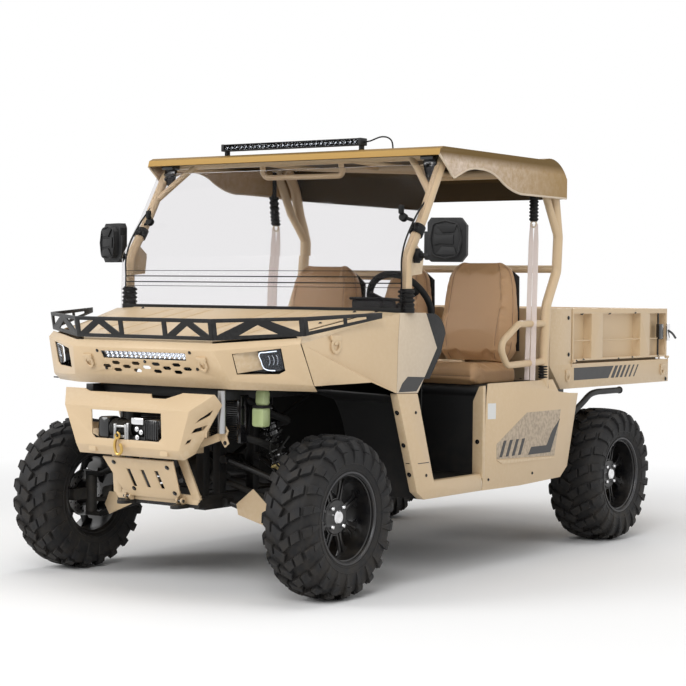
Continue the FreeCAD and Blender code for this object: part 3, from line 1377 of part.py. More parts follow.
front_top_z = nose_low - 24
rear_top_z = bed_rail_low - 24
feature("shock_absorbers", both_sides(Part.makeCompound([
    coil_over((nose_x, front_axle, front_top_z), (spring_x, front_axle, spring_z + 26), 40, 5),
    coil_over((rail_x + 52, rear_axle, rear_top_z), (spring_x, rear_axle, 502), 40, 4)])))

# Driveline: a differential at each axle on its cross member, half shafts and the propeller shaft.
diff_z = dim.diff_height
prop_z = dim.rail_low + 26
engine_front = rear(-560)
engine_back = rear(-150)
trains = []
for station in (front_axle, rear_axle):
    train = [Part.makeSphere(float(dim.diff_radius), vec(0, station, diff_z)),
             block((-40, station - 20, diff_seat), (40, station + 20, diff_seat + 12))]
    for side in (1, -1):
        outer = (side * (kingpin - 92), station, axle_height + 10)
        train.append(strut((0, station, diff_z), outer, 13))
        train.append(strut((side * 90, station, diff_z - 10), (side * 158, station, diff_z - 28), 28))
        train.append(strut((side * (kingpin - 150), station, axle_height + 24), outer, 28))
    trains.append(train)
trains[0].append(strut((0, front_axle, diff_z - 16), (0, front(130), diff_z - 34), 30))
trains[0].append(strut((0, front(110), diff_z - 32), (0, front(470), prop_z), 16))
trains[0].append(round_bar(16, (0, front(462), prop_z), engine_front - front(462), "Y"))
trains[1].append(round_bar(24, (0, engine_back, diff_z - 36), 120, "Y"))
feature("driveline", Part.makeCompound([train[0].fuse(train[1:]) for train in trains]))

# Engine: one plain block at its real place and size. The muffler hangs between the rear towers.
keep(box("engine_block", (-150, engine_front, engine_low), (150, engine_back, 748)), "engine_block")
keep(rod("muffler", 70, (-rail_x + half_post, rear(320), 580), (rail_x - half_post) * 2, "X"), "muffler")

# Wheel arch liners: a bent sheet behind each front wheel, from the frame out to the door post.
liner_x = nose_x + half_post
liner = plate("liner", "YZ", liner_x, sill_back - liner_x, [
    (front(-100), 872), (front(300), 838), (front(466), 800), (front(536), 694, "arc"), (toe_y - 5, 560),
    (toe_y - 5, 372), (toe_y, 372), (toe_y, 560), (front(541), 698, "arc"), (front(469), 806),
    (front(302), 844), (front(-100), 878)])
pair("wheel_arch_liners", liner)

# Seat belts: a retractor boot under each roof rail and the webbing down beside the seat.
belt_x = cage_x - 34
belt_y = rear(-872)
boot_top = dim.roof_top - 85
retractor = Part.makeCylinder(17, 140, vec(belt_x, belt_y, boot_top - 140))
hanger = block((belt_x, belt_y - 10, boot_top - 12), (cage_x + 6, belt_y + 10, boot_top + 11))
strap = prism([
    (belt_x - 24, belt_y - 1.5, boot_top - 136), (belt_x + 16, belt_y - 1.5, boot_top - 136),
    (belt_x + 16, rear(-920), base_top + fit), (belt_x - 24, rear(-920), base_top + fit)], (0, 3, 0))
feature("seat_belts", both_sides(join([retractor, hanger, strap])))

# Steering: the wheel on its column, and the shaft down to the rack.
face_turn = FreeCAD.Rotation(vec(0, 0, 1), column_way)
grip = Part.makeTorus(float(dim.steering_radius), float(dim.grip_radius))
hub_part = Part.makeCylinder(42, 30, vec(0, 0, 10))
spokes = []
for angle in (30, 150, 270):
    spoke = Part.makeBox(float(dim.steering_radius) - 30, 34, 10, vec(24, -17, 14))
    spoke.rotate(vec(0, 0, 0), vec(0, 0, 1), angle)
    spokes.append(spoke)
steering = join([grip, hub_part] + spokes)
steering.Placement = FreeCAD.Placement(wheel_centre, face_turn)
feature("steering_wheel", steering)
column_start = wheel_centre + column_way * (40 + float(fit))
column = Part.makeCylinder(column_radius, 400, column_start, column_way)
joint_at = column_start + column_way * 392
rack_y = front(84)
rack_z = rail_top + 136
rack_half = rail_x - half_post - 4
rack = strut((-rack_half, rack_y, rack_z), (rack_half, rack_y, rack_z), 20)
rack_end = vec(112, rack_y, rack_z)
tie_rods = []
for side in (1, -1):
    tie_rods.append(strut((side * (rack_half - 4), rack_y, rack_z),
                          (side * (arm_inner - 46), front(84), axle_height - 4), 8))
column = join([column, strut(joint_at, rack_end, 10), rack] + tie_rods)
feature("steering_column", column)

# Dump bed: a floor box, a front wall and two corner posts. The three gates hang on its edges.
bed_x = dim.bed_half_width
tail_face = rear(dim.tail_behind)
bed_front = tail_face - dim.bed_length
gate = dim.gate_thick
gap = dim.shut_gap
sheet_thick = dim.panel
deck_top = dim.bed_floor - dim.gate_gap
axis_out = 4
axis_x = bed_x + axis_out
axis_y = tail_face + axis_out
axis_z = dim.bed_floor - 2
barrel = dim.hinge_barrel
pin = dim.hinge_pin
side_end = tail_face - gate - gap
gate_front = bed_front + dim.post_width + gap + 10
gate_rear = tail_face - 22
brow_y = bed_front + dim.post_width
cut_y = bed_front + dim.bed_cut
tray = [
    box("bed_bottom", (-bed_x, cut_y, dim.bed_low), (bed_x, tail_face, dim.bed_low + sheet_thick)),
    box("bed_deck", (-bed_x, bed_front, deck_top - sheet_thick), (bed_x, tail_face, deck_top)),
    box("bed_wall", (-bed_x + 6, bed_front, deck_top), (bed_x - 6, bed_front + 30, dim.bed_top)),
    box("bed_tail", (-bed_x, tail_face - sheet_thick, dim.bed_low), (bed_x, tail_face, deck_top)),
    plate("bed_brow", "YZ", -bed_x, bed_x * 2, [
        (bed_front, deck_top - sheet_thick), (cut_y, dim.bed_low), (cut_y + 6, dim.bed_low),
        (bed_front + 6, deck_top - sheet_thick)]),
]
for side in (1, -1):
    tray.append(box("bed_post_%d" % side, (side * bed_x if side < 0 else bed_x - gate, bed_front, deck_top),
                    (side * bed_x + (gate if side < 0 else 0), brow_y, dim.bed_top)))
    tray.append(plate("bed_side_%d" % side, "YZ", side * (bed_x - 2) - 2, 4, [
        (bed_front, deck_top), (bed_front, deck_top - sheet_thick), (cut_y, dim.bed_low),
        (tail_face, dim.bed_low), (tail_face, deck_top)]))


def hinge_ear(centre, axis, low):
    """A small ear on the bed edge, bored for a hinge pin. It reaches down to the edge."""
    x, y, z = centre
    half = 4
    if axis == "Y":
        ear = round_bar(barrel, (x, y - half, z), half * 2, "Y")
        foot = block((x - axis_out * (1 if x > 0 else -1), y - half, low), (x, y + half, z))
        bore = round_bar(pin + dim.pin_gap, (x, y - 20, z), 40, "Y")
    else:
        ear = round_bar(barrel, (x - half, y, z), half * 2, "X")
        foot = block((x - half, y - axis_out, low), (x + half, y, z))
        bore = round_bar(pin + dim.pin_gap, (x - 20, y, z), 40, "X")
    return ear.fuse(foot).cut(bore)


side_ear_y = (gate_front - 9, gate_rear + 9)
tail_half = bed_x - gate - dim.tail_gap
tail_ear_x = tail_half + 9
ear_low = float(deck_top) - 14
for count, y in enumerate(side_ear_y):
    for side in (1, -1):
        tray.append(raw("side_ear_%d_%d" % (count, side), hinge_ear((side * float(axis_x), y, axis_z), "Y", ear_low)))
for side in (1, -1):
    tray.append(raw("tail_ear_%d" % side, hinge_ear((side * float(tail_ear_x), axis_y, axis_z), "X", ear_low)))
pin_ends = rail_x + half_post + 26
bed_pin = round_bar(dim.bed_pin_radius, (-pin_ends, bed_hinge_y, bed_hinge_z), pin_ends * 2, "X")
lugs = [bed_pin]
for side in (1, -1):
    lug_x = side * (rail_x + half_post + 16)
    lugs.append(round_bar(dim.bed_ear_radius, (lug_x - 10, bed_hinge_y, bed_hinge_z), 20, "X"))
    lugs.append(block((lug_x - 10, bed_hinge_y - dim.bed_ear_radius, bed_hinge_z),
                      (lug_x + 10, bed_hinge_y + dim.bed_ear_radius, dim.bed_low + 1)))
tray.append(raw("bed_hinge", join(lugs)))
keep(fuse("bed_tub", tray), "bed_tub")

# Gates: a sheet on the inside, a frame round it and two ribs, with a pin stub at each end.
bay_shares = ((0.012, 0.186), (0.30, 0.70), (0.804, 0.985))
gate_low = dim.bed_floor
gate_high = dim.bed_top
recess = gate - 4
gate_run = gate_rear - gate_front


for hand, side in (("left", 1), ("right", -1)):
    inner_x = side * (bed_x - gate)
    base = box("gate_slab_" + hand, (min(side * bed_x, inner_x), gate_front, gate_low),
               (max(side * bed_x, inner_x), gate_rear, gate_high))
    bays = []
    for i, (begin, end) in enumerate(bay_shares):
        bays.append(raw("bay_%s_%d" % (hand, i), block(
            (side * (bed_x - recess), gate_front + gate_run * begin, gate_low + 10),
            (side * (bed_x + 10), gate_front + gate_run * end, gate_high - 26))))
    hollowed = cut("gate_frame_" + hand, base, group("gate_bays_" + hand, bays))
    hinge = []
    for y, way in ((gate_front, -1), (gate_rear, 1)):
        hinge.append(strut((side * axis_x, y - way * 20, axis_z), (side * axis_x, y + way * 14, axis_z), pin))
        hinge.append(strut((side * axis_x, y - way * 20, axis_z), (side * axis_x, y, axis_z), barrel))
    rods = [strut((side * (bed_x - 10), gate_front + 10, 1046), (side * (bed_x - 10), gate_rear - 10, 1046), 3)]
    keep(fuse("side_gate_" + hand, [hollowed] + [
        raw("gate_pin_%s_%d" % (hand, i), shape) for i, shape in enumerate(hinge + rods)]),
        "side_gate_" + hand)
tail_slab = box("tail_slab", (-tail_half, tail_face - gate, gate_low), (tail_half, tail_face, gate_high))
tail_bays = [raw("tail_bay_%d" % i, block(
    (-tail_half + tail_half * 2 * begin, tail_face - recess, gate_low + 12),
    (-tail_half + tail_half * 2 * end, tail_face + 10, gate_high - 26)))
    for i, (begin, end) in enumerate(((0.04, 0.31), (0.37, 0.63), (0.69, 0.96)))]
tail_pins = []
for side in (1, -1):
    tail_pins.append(strut((side * (tail_half - 20), axis_y, axis_z), (side * (tail_half + 14), axis_y, axis_z), pin))
    tail_pins.append(strut((side * (tail_half - 20), axis_y, axis_z), (side * tail_half, axis_y, axis_z), barrel))
keep(fuse("tailgate", [cut("tail_frame", tail_slab, group("tail_bays", tail_bays))] + [
    raw("tail_pin_%d" % i, shape) for i, shape in enumerate(tail_pins)]), "tailgate")
tail_lamp = box("tail_lamp", (bed_x - 150, tail_face, dim.bed_low + 34),
                (bed_x - 34, tail_face + 6, dim.bed_low + 94))
pair("tail_lamps", tail_lamp)


doc.recompute()
for thing in doc.Objects:
    if "Invalid" in thing.State or "Error" in thing.State:
        raise SystemExit("failed: %s %s %s" % (thing.Name, thing.Label, thing.State))
for thing in nodes:
    if thing.Shape.isNull() or not thing.Shape.isValid():
        raise SystemExit("bad shape: " + thing.Label)
os.makedirs("parts", exist_ok=True)
for thing in nodes:
    thing.Shape.exportStep("parts/%s.step" % thing.Label)
box_all = nodes[0].Shape.BoundBox
for thing in nodes:
    box_all.add(thing.Shape.BoundBox)
print("nodes", len(nodes), "box", box_all)
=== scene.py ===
"""Side by side utility vehicle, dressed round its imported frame.

Every length is in metres, in the frame's own axes: X to the vehicle's left, Y to its rear, Z up.
Spots given through at() are in millimetres: across, behind the front axle, and up.
"""
import json
import math

import bpy
from bpy.props import FloatProperty, FloatVectorProperty, IntProperty, PointerProperty
from mathutils import Matrix, Vector
from mathutils.bvhtree import BVHTree
from mathutils.kdtree import KDTree

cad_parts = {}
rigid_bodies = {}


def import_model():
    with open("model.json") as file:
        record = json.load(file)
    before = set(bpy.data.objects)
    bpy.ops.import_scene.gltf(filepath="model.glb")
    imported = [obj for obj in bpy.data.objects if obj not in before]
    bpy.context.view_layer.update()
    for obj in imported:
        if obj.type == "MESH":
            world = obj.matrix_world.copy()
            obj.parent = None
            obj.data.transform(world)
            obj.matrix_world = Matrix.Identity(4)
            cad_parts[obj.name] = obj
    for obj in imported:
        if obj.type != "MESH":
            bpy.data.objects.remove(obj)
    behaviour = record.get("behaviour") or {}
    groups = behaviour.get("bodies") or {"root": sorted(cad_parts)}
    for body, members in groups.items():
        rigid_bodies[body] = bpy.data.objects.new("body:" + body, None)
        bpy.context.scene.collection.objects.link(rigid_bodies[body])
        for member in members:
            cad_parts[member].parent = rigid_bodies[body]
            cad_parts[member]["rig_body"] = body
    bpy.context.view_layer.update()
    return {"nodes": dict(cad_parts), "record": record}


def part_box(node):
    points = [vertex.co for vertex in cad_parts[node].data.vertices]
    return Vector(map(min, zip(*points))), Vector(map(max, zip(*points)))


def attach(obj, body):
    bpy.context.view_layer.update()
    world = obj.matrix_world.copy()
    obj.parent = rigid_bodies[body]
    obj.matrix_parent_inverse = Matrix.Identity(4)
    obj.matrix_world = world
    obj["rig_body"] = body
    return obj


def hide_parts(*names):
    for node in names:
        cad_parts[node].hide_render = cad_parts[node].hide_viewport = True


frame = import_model()

bl_info = {
    "name": "Side by side utility vehicle",
    "version": (1, 0, 0),
    "blender": (4, 5, 0),
    "location": "View3D > Sidebar > Vehicle",
    "description": "Dresses the packed frame of a side by side utility vehicle",
    "category": "Add Mesh",
}

FRONT_AXLE = -1.3325
REAR_AXLE = 1.0925
HALF_TRACK = 0.710
BEAD_SEAT = 0.178
CAGE_HALF = 0.798
ROOF_TOP = 1.925
CUSHION_PRESSURE = 4.0
CLOTH_FRAMES = 20
WHEEL_PLACES = {
    "front_left": (1, FRONT_AXLE), "front_right": (-1, FRONT_AXLE),
    "rear_left": (1, REAR_AXLE), "rear_right": (-1, REAR_AXLE),
}
LEFT, BACK, UP = Vector((1, 0, 0)), Vector((0, 1, 0)), Vector((0, 0, 1))


def length(label, note, default):
    return FloatProperty(name=label, description=note, default=default, min=0.0, unit="LENGTH")


def colour(label, note, default):
    return FloatVectorProperty(
        name=label, description=note, subtype="COLOR", size=4, default=(*default, 1.0), min=0.0, max=1.0)


class BodySizes(bpy.types.PropertyGroup):
    """Sizes of the sheet metal and the seats."""
    bolt_radius: length("Bolt", "Radius of a panel bolt's head", 0.0075)
    cushion_swell: length("Cushion swell", "Furthest that the filling pushes a seat back's cover out", 0.020)


class WheelSizes(bpy.types.PropertyGroup):
    """Sizes of the tyres and rims."""
    lug_count: IntProperty(name="Lugs", description="Tread lugs round one side of a tyre", default=22, min=8)
    lug_height: length("Lug height", "Depth of the tread", 0.018)
    spoke_count: IntProperty(name="Spokes", description="Spokes of a rim", default=8, min=4)


class Finishes(bpy.types.PropertyGroup):
    """Colours of the main finishes."""
    sand: colour("Sand paint", "Colour of the sheet metal", (0.61, 0.452, 0.275))
    roof: colour("Roof", "Colour of the moulded roof", (0.20, 0.120, 0.035))
    seat: colour("Seat cover", "Colour of the seat cover", (0.44, 0.262, 0.130))
    rubber: colour("Rubber", "Colour of the tyres", (0.011, 0.011, 0.012))


def sizes():
    return bpy.context.scene.vehicle_body


def wheels():
    return bpy.context.scene.vehicle_wheels


def colours():
    return bpy.context.scene.vehicle_finishes


# Shader groups and materials

WHITE = (1.0, 1.0, 1.0, 1.0)
BLACK = (0.0, 0.0, 0.0, 1.0)
BARE_PRIMER = (0.6, 0.55, 0.45)
BUMP_DEPTH = 0.0006


def new_group(name, inputs, outputs):
    """A shader group with named sockets, each (kind, name, default)."""
    group = bpy.data.node_groups.new(name, "ShaderNodeTree")
    for direction, sockets in (("INPUT", inputs), ("OUTPUT", outputs)):
        for kind, label, default in sockets:
            made = group.interface.new_socket(label, in_out=direction, socket_type="NodeSocket" + kind)
            if default is not None:
                made.default_value = default
    start = group.nodes.new("NodeGroupInput")
    end = group.nodes.new("NodeGroupOutput")
    return group, start.outputs, end.inputs


def feed(tree, socket, value):
    """Gives a socket a value, or links it to the socket that feeds it."""
    if isinstance(value, bpy.types.NodeSocket):
        tree.links.new(value, socket)
    else:
        socket.default_value = value


def add(tree, kind, settings=(), **inputs):
    """A shader node; each input is a value or a socket that feeds it."""
    made = tree.nodes.new("ShaderNode" + kind)
    for name, value in settings:
        setattr(made, name, value)
    for name, value in inputs.items():
        key = int(name[1:]) if name[1:].isdigit() else name.replace("_", " ")
        feed(tree, made.inputs[key], value)
    return made


def calculate(tree, operation, first, second=0.0, clamp=False):
    made = add(tree, "Math", (("operation", operation), ("use_clamp", clamp)), i0=first, i1=second)
    return made.outputs[0]


def product(tree, first, second, clamp=False):
    return calculate(tree, "MULTIPLY", first, second, clamp)


def blend_colour(tree, factor, first, second):
    made = add(tree, "Mix", (("data_type", "RGBA"),))
    for index, value in ((0, factor), (6, first), (7, second)):
        feed(tree, made.inputs[index], value)
    return made.outputs[2]


def mapped(tree, value, low, high, to_low=0.0, to_high=1.0):
    made = add(tree, "MapRange", (), Value=value, From_Min=low, From_Max=high, To_Min=to_low, To_Max=to_high)
    return made.outputs[0]


def object_place(tree):
    return add(tree, "TexCoord").outputs["Object"]


def split(tree, vector):
    return add(tree, "SeparateXYZ", (), Vector=vector).outputs


def noise(tree, place, scale, detail=2.0, roughness=0.5):
    return add(tree, "TexNoise", (), Vector=place, Scale=scale, Detail=detail,
               Roughness=roughness).outputs["Fac"]


def make_surface_group():
    """Colour drift, dust that settles on upward faces and low down, and a fine grain."""
    tree, given, result = new_group("Weathered surface", [
        ("Color", "Color", (0.5, 0.5, 0.5, 1.0)), ("Float", "Roughness", 0.5), ("Float", "Drift", 0.1),
        ("Float", "Dust", 0.1), ("Color", "Dust Color", (0.55, 0.44, 0.3, 1.0)),
        ("Float", "Grain Scale", 400.0), ("Float", "Grain", 1.0)],
        [("Color", "Color", None), ("Float", "Roughness", None), ("Float", "Height", None)])
    place = object_place(tree)
    broad = noise(tree, place, 3.1, 4.0, 0.6)
    cloudy = noise(tree, place, 17.0, 6.0, 0.65)
    fine = noise(tree, place, given["Grain Scale"])
    shade = product(tree, calculate(tree, "SUBTRACT", broad, 0.5), given["Drift"])
    value = calculate(tree, "ADD", shade, 1.0)
    tinted = add(tree, "HueSaturation", (), Color=given["Color"], Value=value).outputs["Color"]
    upward = split(tree, add(tree, "NewGeometry").outputs["Normal"])["Z"]
    low_down = mapped(tree, split(tree, place)["Z"], 0.75, 0.05)
    settled = calculate(tree, "ADD", mapped(tree, upward, 0.2, 1.0, 0.0, 0.6), low_down)
    patch = mapped(tree, cloudy, 0.38, 0.72)
    dusty = product(tree, product(tree, settled, patch), given["Dust"], True)
    tree.links.new(blend_colour(tree, dusty, tinted, given["Dust Color"]), result["Color"])
    rougher = product(tree, calculate(tree, "SUBTRACT", cloudy, 0.5), 0.16)
    rougher = calculate(tree, "ADD", rougher, product(tree, dusty, 0.3))
    tree.links.new(calculate(tree, "ADD", rougher, given["Roughness"], True), result["Roughness"])
    tree.links.new(product(tree, fine, given["Grain"]), result["Height"])
    return tree


def make_wear_group():
    """Rubbed edges: a lighter colour where the surface bends outward sharply."""
    tree, given, result = new_group("Rubbed edges", [
        ("Color", "Color", (0.5, 0.5, 0.5, 1.0)), ("Color", "Bare", (*BARE_PRIMER, 1.0)),
        ("Float", "Wear", 0.3)], [("Color", "Color", None)])
    pointed = add(tree, "NewGeometry").outputs["Pointiness"]
    broken = noise(tree, object_place(tree), 60.0, 5.0)
    edge = product(tree, mapped(tree, pointed, 0.53, 0.60), mapped(tree, broken, 0.4, 0.65))
    share = product(tree, edge, given["Wear"], True)
    tree.links.new(blend_colour(tree, share, given["Color"], given["Bare"]), result["Color"])
    return tree


def make_weave_group():
    """Fine crossed ribs of a woven belt."""
    tree, given, result = new_group("Woven webbing", [("Float", "Scale", 900.0)], [("Float", "Height", None)])
    place = object_place(tree)
    along, across = (
        add(tree, "TexWave", (("bands_direction", way),), Vector=place, Scale=given["Scale"]).outputs["Fac"]
        for way in "ZY")
    tree.links.new(product(tree, along, across), result["Height"])
    return tree


GROUP_MAKERS = {
    "Weathered surface": make_surface_group, "Rubbed edges": make_wear_group,
    "Woven webbing": make_weave_group,
}


def group_node(tree, name, **inputs):
    source = bpy.data.node_groups.get(name) or GROUP_MAKERS[name]()
    made = tree.nodes.new("ShaderNodeGroup")
    made.node_tree = source
    for label, value in inputs.items():
        feed(tree, made.inputs[label.replace("_", " ")], value)
    return made.outputs


def new_material(name, **inputs):
    """A material with some of its shader's inputs set, each a value; underscores stand for spaces."""
    material = bpy.data.materials.new(name)
    material.use_nodes = True
    tree = material.node_tree
    shader = tree.nodes["Principled BSDF"].inputs
    for label, value in inputs.items():
        shader[label.replace("_", " ")].default_value = value
    return tree, shader


def relief(tree, shader, height, strength):
    bump = add(tree, "Bump", (), Height=height, Strength=strength, Distance=BUMP_DEPTH)
    tree.links.new(bump.outputs["Normal"], shader["Normal"])


def coated(name, tone, roughness, drift=0.12, dust=0.08, grain_scale=420.0, grain=0.4, wear=0.0,
           bare=BARE_PRIMER, metallic=0.0, coat=0.0, coat_roughness=0.15, bump=0.15, shine=0.5):
    """Paint, plastic, rubber or metal with colour drift, dust, grain and rubbed edges."""
    tree, shader = new_material(
        name, Metallic=metallic, Coat_Weight=coat, Coat_Roughness=coat_roughness, Specular_IOR_Level=shine)
    skin = group_node(tree, "Weathered surface", Color=(*tone[:3], 1.0), Roughness=roughness, Drift=drift,
                      Dust=dust, Grain_Scale=grain_scale, Grain=grain)
    shown = skin["Color"]
    if wear:
        shown = group_node(tree, "Rubbed edges", Color=shown, Bare=(*bare, 1.0), Wear=wear)["Color"]
    tree.links.new(shown, shader["Base Color"])
    tree.links.new(skin["Roughness"], shader["Roughness"])
    relief(tree, shader, skin["Height"], bump)
    return tree, shader


def clear_material(name, tone, roughness):
    """Clear sheet or lens: mostly see-through, with faint smears."""
    tree, shader = new_material(name, Base_Color=(*tone, 1.0), Transmission_Weight=1.0, IOR=1.1)
    smear = noise(tree, object_place(tree), 9.0, 3.0)
    tree.links.new(mapped(tree, smear, 0.35, 0.8, roughness, roughness + 0.06), shader["Roughness"])


def glowing(name, tone, strength):
    """A lit diode behind its lens."""
    tree, shader = new_material(name, Emission_Strength=strength, Roughness=0.2)
    uneven = noise(tree, object_place(tree), 240.0)
    shown = blend_colour(tree, mapped(tree, uneven, 0.3, 0.8), (*tone, 1.0), WHITE)
    for label in ("Base Color", "Emission Color"):
        tree.links.new(shown, shader[label])


def make_roof_moulding(tone):
    """Moulded roof: dark on top, its side skirts mottled pale with dust towards the front; painted light in a
    warm, lighter brown on the skirts and the front edge, and painted shade, near black, on faces turned down
    or forward.
    """
    tree, shader = coated("roof moulding", tone, 0.62, drift=0.16, dust=0.0, grain_scale=330.0, grain=1.0,
                          bump=0.55, shine=0.2)
    shown = shader["Base Color"].links[0].from_socket
    place = object_place(tree)
    facing = split(tree, add(tree, "NewGeometry").outputs["Normal"])
    spot = split(tree, place)
    outward = mapped(tree, calculate(tree, "ABSOLUTE", facing["X"]), 0.78, 0.97)
    under = mapped(tree, facing["Z"], -0.3, -0.85)
    ahead = mapped(tree, facing["Y"], -0.2, -0.9)
    forward = product(tree, ahead, mapped(tree, spot["Y"], -0.60, -0.68), True)
    crown = mapped(tree, spot["Z"], 1.862, 1.900)
    toward_front = mapped(tree, spot["Y"], 0.42, -0.55, 0.12, 1.0)
    patch = mapped(tree, noise(tree, place, 26.0, 8.0, 0.75), 0.36, 0.60, 0.45, 1.0)
    pale = product(tree, product(tree, outward, toward_front), patch, True)
    # Painted light: a warm, lighter brown on the side skirts and along the front edge. Painted shade: near
    # black on faces turned down, and on faces turned forward behind the front edge.
    lit = calculate(tree, "MAXIMUM", product(tree, outward, 0.55, True), forward)
    painted_shade = calculate(tree, "MAXIMUM", under, calculate(tree, "SUBTRACT", ahead, forward, True), True)
    # The first colour below is the painted light, the last one the painted shade.
    for share, over in ((lit, (0.44, 0.27, 0.085)), (product(tree, pale, 0.95), (0.72, 0.60, 0.50)),
                        (product(tree, crown, outward), (0.145, 0.088, 0.026)),
                        (painted_shade, (0.050, 0.029, 0.008))):
        shown = blend_colour(tree, share, shown, (*over, 1.0))
    tree.links.new(shown, shader["Base Color"])


def make_webbing():
    tree, shader = new_material("belt webbing")
    skin = group_node(tree, "Weathered surface", Color=(0.76, 0.66, 0.61, 1.0), Roughness=0.75, Drift=0.12,
                      Dust=0.05, Grain_Scale=900.0, Grain=0.3)
    tree.links.new(skin["Color"], shader["Base Color"])
    tree.links.new(skin["Roughness"], shader["Roughness"])
    relief(tree, shader, group_node(tree, "Woven webbing", Scale=420.0)["Height"], 0.4)


COATINGS = {
    "sand paint light": ((0.60, 0.49, 0.36), 0.45, dict(
        drift=0.10, grain_scale=900.0, grain=0.5, wear=0.2, bare=(0.72, 0.63, 0.5), coat=0.1,
        coat_roughness=0.3, bump=0.08)),
    # A darker copy of the sand paint: painted shade, used in the gap under the side gates.
    "shaded sand paint": ((0.30, 0.20, 0.09), 0.5, dict(drift=0.14, dust=0.1, wear=0.2, bump=0.1)),
    "black powder coat": ((0.005, 0.005, 0.0055), 0.45, dict(
        drift=0.2, dust=0.05, grain_scale=1400.0, grain=0.7, wear=0.2, bare=(0.07, 0.07, 0.07), bump=0.25,
        shine=0.35)),
    "moulded black": ((0.0055, 0.0055, 0.006), 0.55, dict(
        drift=0.2, dust=0.05, grain_scale=700.0, grain=1.0, bump=0.5, shine=0.35)),
    "gloss black": ((0.006, 0.006, 0.007), 0.16, dict(
        drift=0.1, dust=0.03, coat=0.4, coat_roughness=0.05, bump=0.03)),
    "soft rubber": ((0.008, 0.008, 0.008), 0.7, dict(drift=0.2, grain_scale=1200.0, bump=0.3, shine=0.25)),
    "rim black": ((0.006, 0.006, 0.007), 0.30, dict(drift=0.2, dust=0.04, coat=0.25, bump=0.05, shine=0.4)),
    "rim lip": ((0.040, 0.040, 0.043), 0.38, dict(drift=0.15, dust=0.05, metallic=0.4, bump=0.1)),
    "bright chrome": ((0.80, 0.80, 0.81), 0.10, dict(drift=0.05, dust=0.02, metallic=1.0, bump=0.02)),
    "bare steel": ((0.42, 0.42, 0.42), 0.34, dict(
        drift=0.2, dust=0.12, metallic=1.0, grain_scale=1200.0, bump=0.2)),
    "cast metal": ((0.026, 0.0255, 0.0245), 0.62, dict(
        drift=0.3, dust=0.12, metallic=0.5, grain_scale=500.0, grain=1.0, bump=0.6)),
    "underbody": ((0.0035, 0.0034, 0.0033), 0.6, dict(
        drift=0.3, dust=0.04, grain_scale=900.0, bump=0.3, shine=0.12)),
    "seat piping": ((0.24, 0.14, 0.08), 0.5, dict(drift=0.1, bump=0.3)),
    "muffler metal": ((0.16, 0.14, 0.12), 0.45, dict(drift=0.5, dust=0.25, metallic=0.8, bump=0.3)),
    "tail lens": ((0.30, 0.008, 0.006), 0.12, dict(
        drift=0.15, dust=0.03, coat=0.8, coat_roughness=0.04, bump=0.05)),
    "blank label": ((0.72, 0.72, 0.70), 0.35, dict(drift=0.05, dust=0.05, bump=0.05)),
    "decal grey": ((0.022, 0.021, 0.021), 0.4, dict(drift=0.3, dust=0.05, bump=0.1)),
    "worn decal": ((0.50, 0.40, 0.29), 0.5, dict(
        drift=0.3, dust=0.15, grain_scale=60.0, grain=1.0, wear=0.6, bare=(0.24, 0.19, 0.14), bump=0.05)),
    "bottle plastic": ((0.42, 0.50, 0.24), 0.35, dict(drift=0.15, dust=0.05, coat=0.2, bump=0.05)),
    "spring seat": ((0.42, 0.32, 0.12), 0.45, dict(drift=0.15, bump=0.1)),
    "gold plate": ((0.60, 0.40, 0.12), 0.3, dict(drift=0.15, dust=0.05, metallic=0.9, bump=0.08)),
    "mirror glass": ((0.75, 0.78, 0.8), 0.03, dict(drift=0.02, dust=0.01, metallic=1.0, bump=0.0)),
}


def make_finishes():
    """Every finish, each named once."""
    paint = colours()
    coated("sand paint", paint.sand, 0.42, drift=0.10, dust=0.10, grain_scale=900.0, grain=0.5, wear=0.35,
           bare=(0.74, 0.62, 0.45), coat=0.15, coat_roughness=0.3, bump=0.08)
    coated("tyre rubber", paint.rubber, 0.66, drift=0.3, dust=0.05, grain_scale=1500.0, grain=0.8, wear=0.12,
           bare=(0.04, 0.04, 0.041), bump=0.3, shine=0.28)
    coated("seat leather", paint.seat, 0.52, drift=0.14, dust=0.04, grain_scale=950.0, grain=1.0, wear=0.1,
           bare=(0.5, 0.33, 0.2), bump=0.45)
    make_roof_moulding(paint.roof)
    for name, (tone, roughness, settings) in COATINGS.items():
        coated(name, tone, roughness, **settings)
    make_webbing()
    clear_material("clear sheet", (0.82, 0.81, 0.82), 0.02)
    clear_material("lamp lens", (0.92, 0.95, 1.0), 0.03)
    glowing("lamp diode", (0.85, 0.92, 1.0), 0.6)


# Mesh tools

SMOOTH_ANGLE = 38.0
ROUND_ANGLE = math.radians(50)
SHARP_ANGLE = math.radians(28)
FLAT_ANGLE = math.radians(0.6)
SPIN_GAP = 0.00002
NODE_GAP = 0.00003
MIRROR = Matrix.Diagonal((-1.0, 1.0, 1.0, 1.0))


def clear_selection():
    if bpy.context.object and bpy.context.object.mode != "OBJECT":
        bpy.ops.object.mode_set(mode="OBJECT")
    bpy.ops.object.select_all(action="DESELECT")


def only(*pieces):
    """Leaves object mode with just these pieces selected, the first one active."""
    clear_selection()
    for piece in pieces:
        piece.select_set(True)
    bpy.context.view_layer.objects.active = pieces[0]


def edited(piece, *steps):
    """Runs mesh operators on the whole of a piece in edit mode, each (name, settings)."""
    only(piece)
    bpy.ops.object.mode_set(mode="EDIT")
    for name, settings in steps:
        bpy.ops.mesh.select_all(action="SELECT")
        getattr(bpy.ops.mesh, name)(**settings)
    bpy.ops.object.mode_set(mode="OBJECT")
    return piece


OUTWARD = ("normals_make_consistent", {"inside": False})


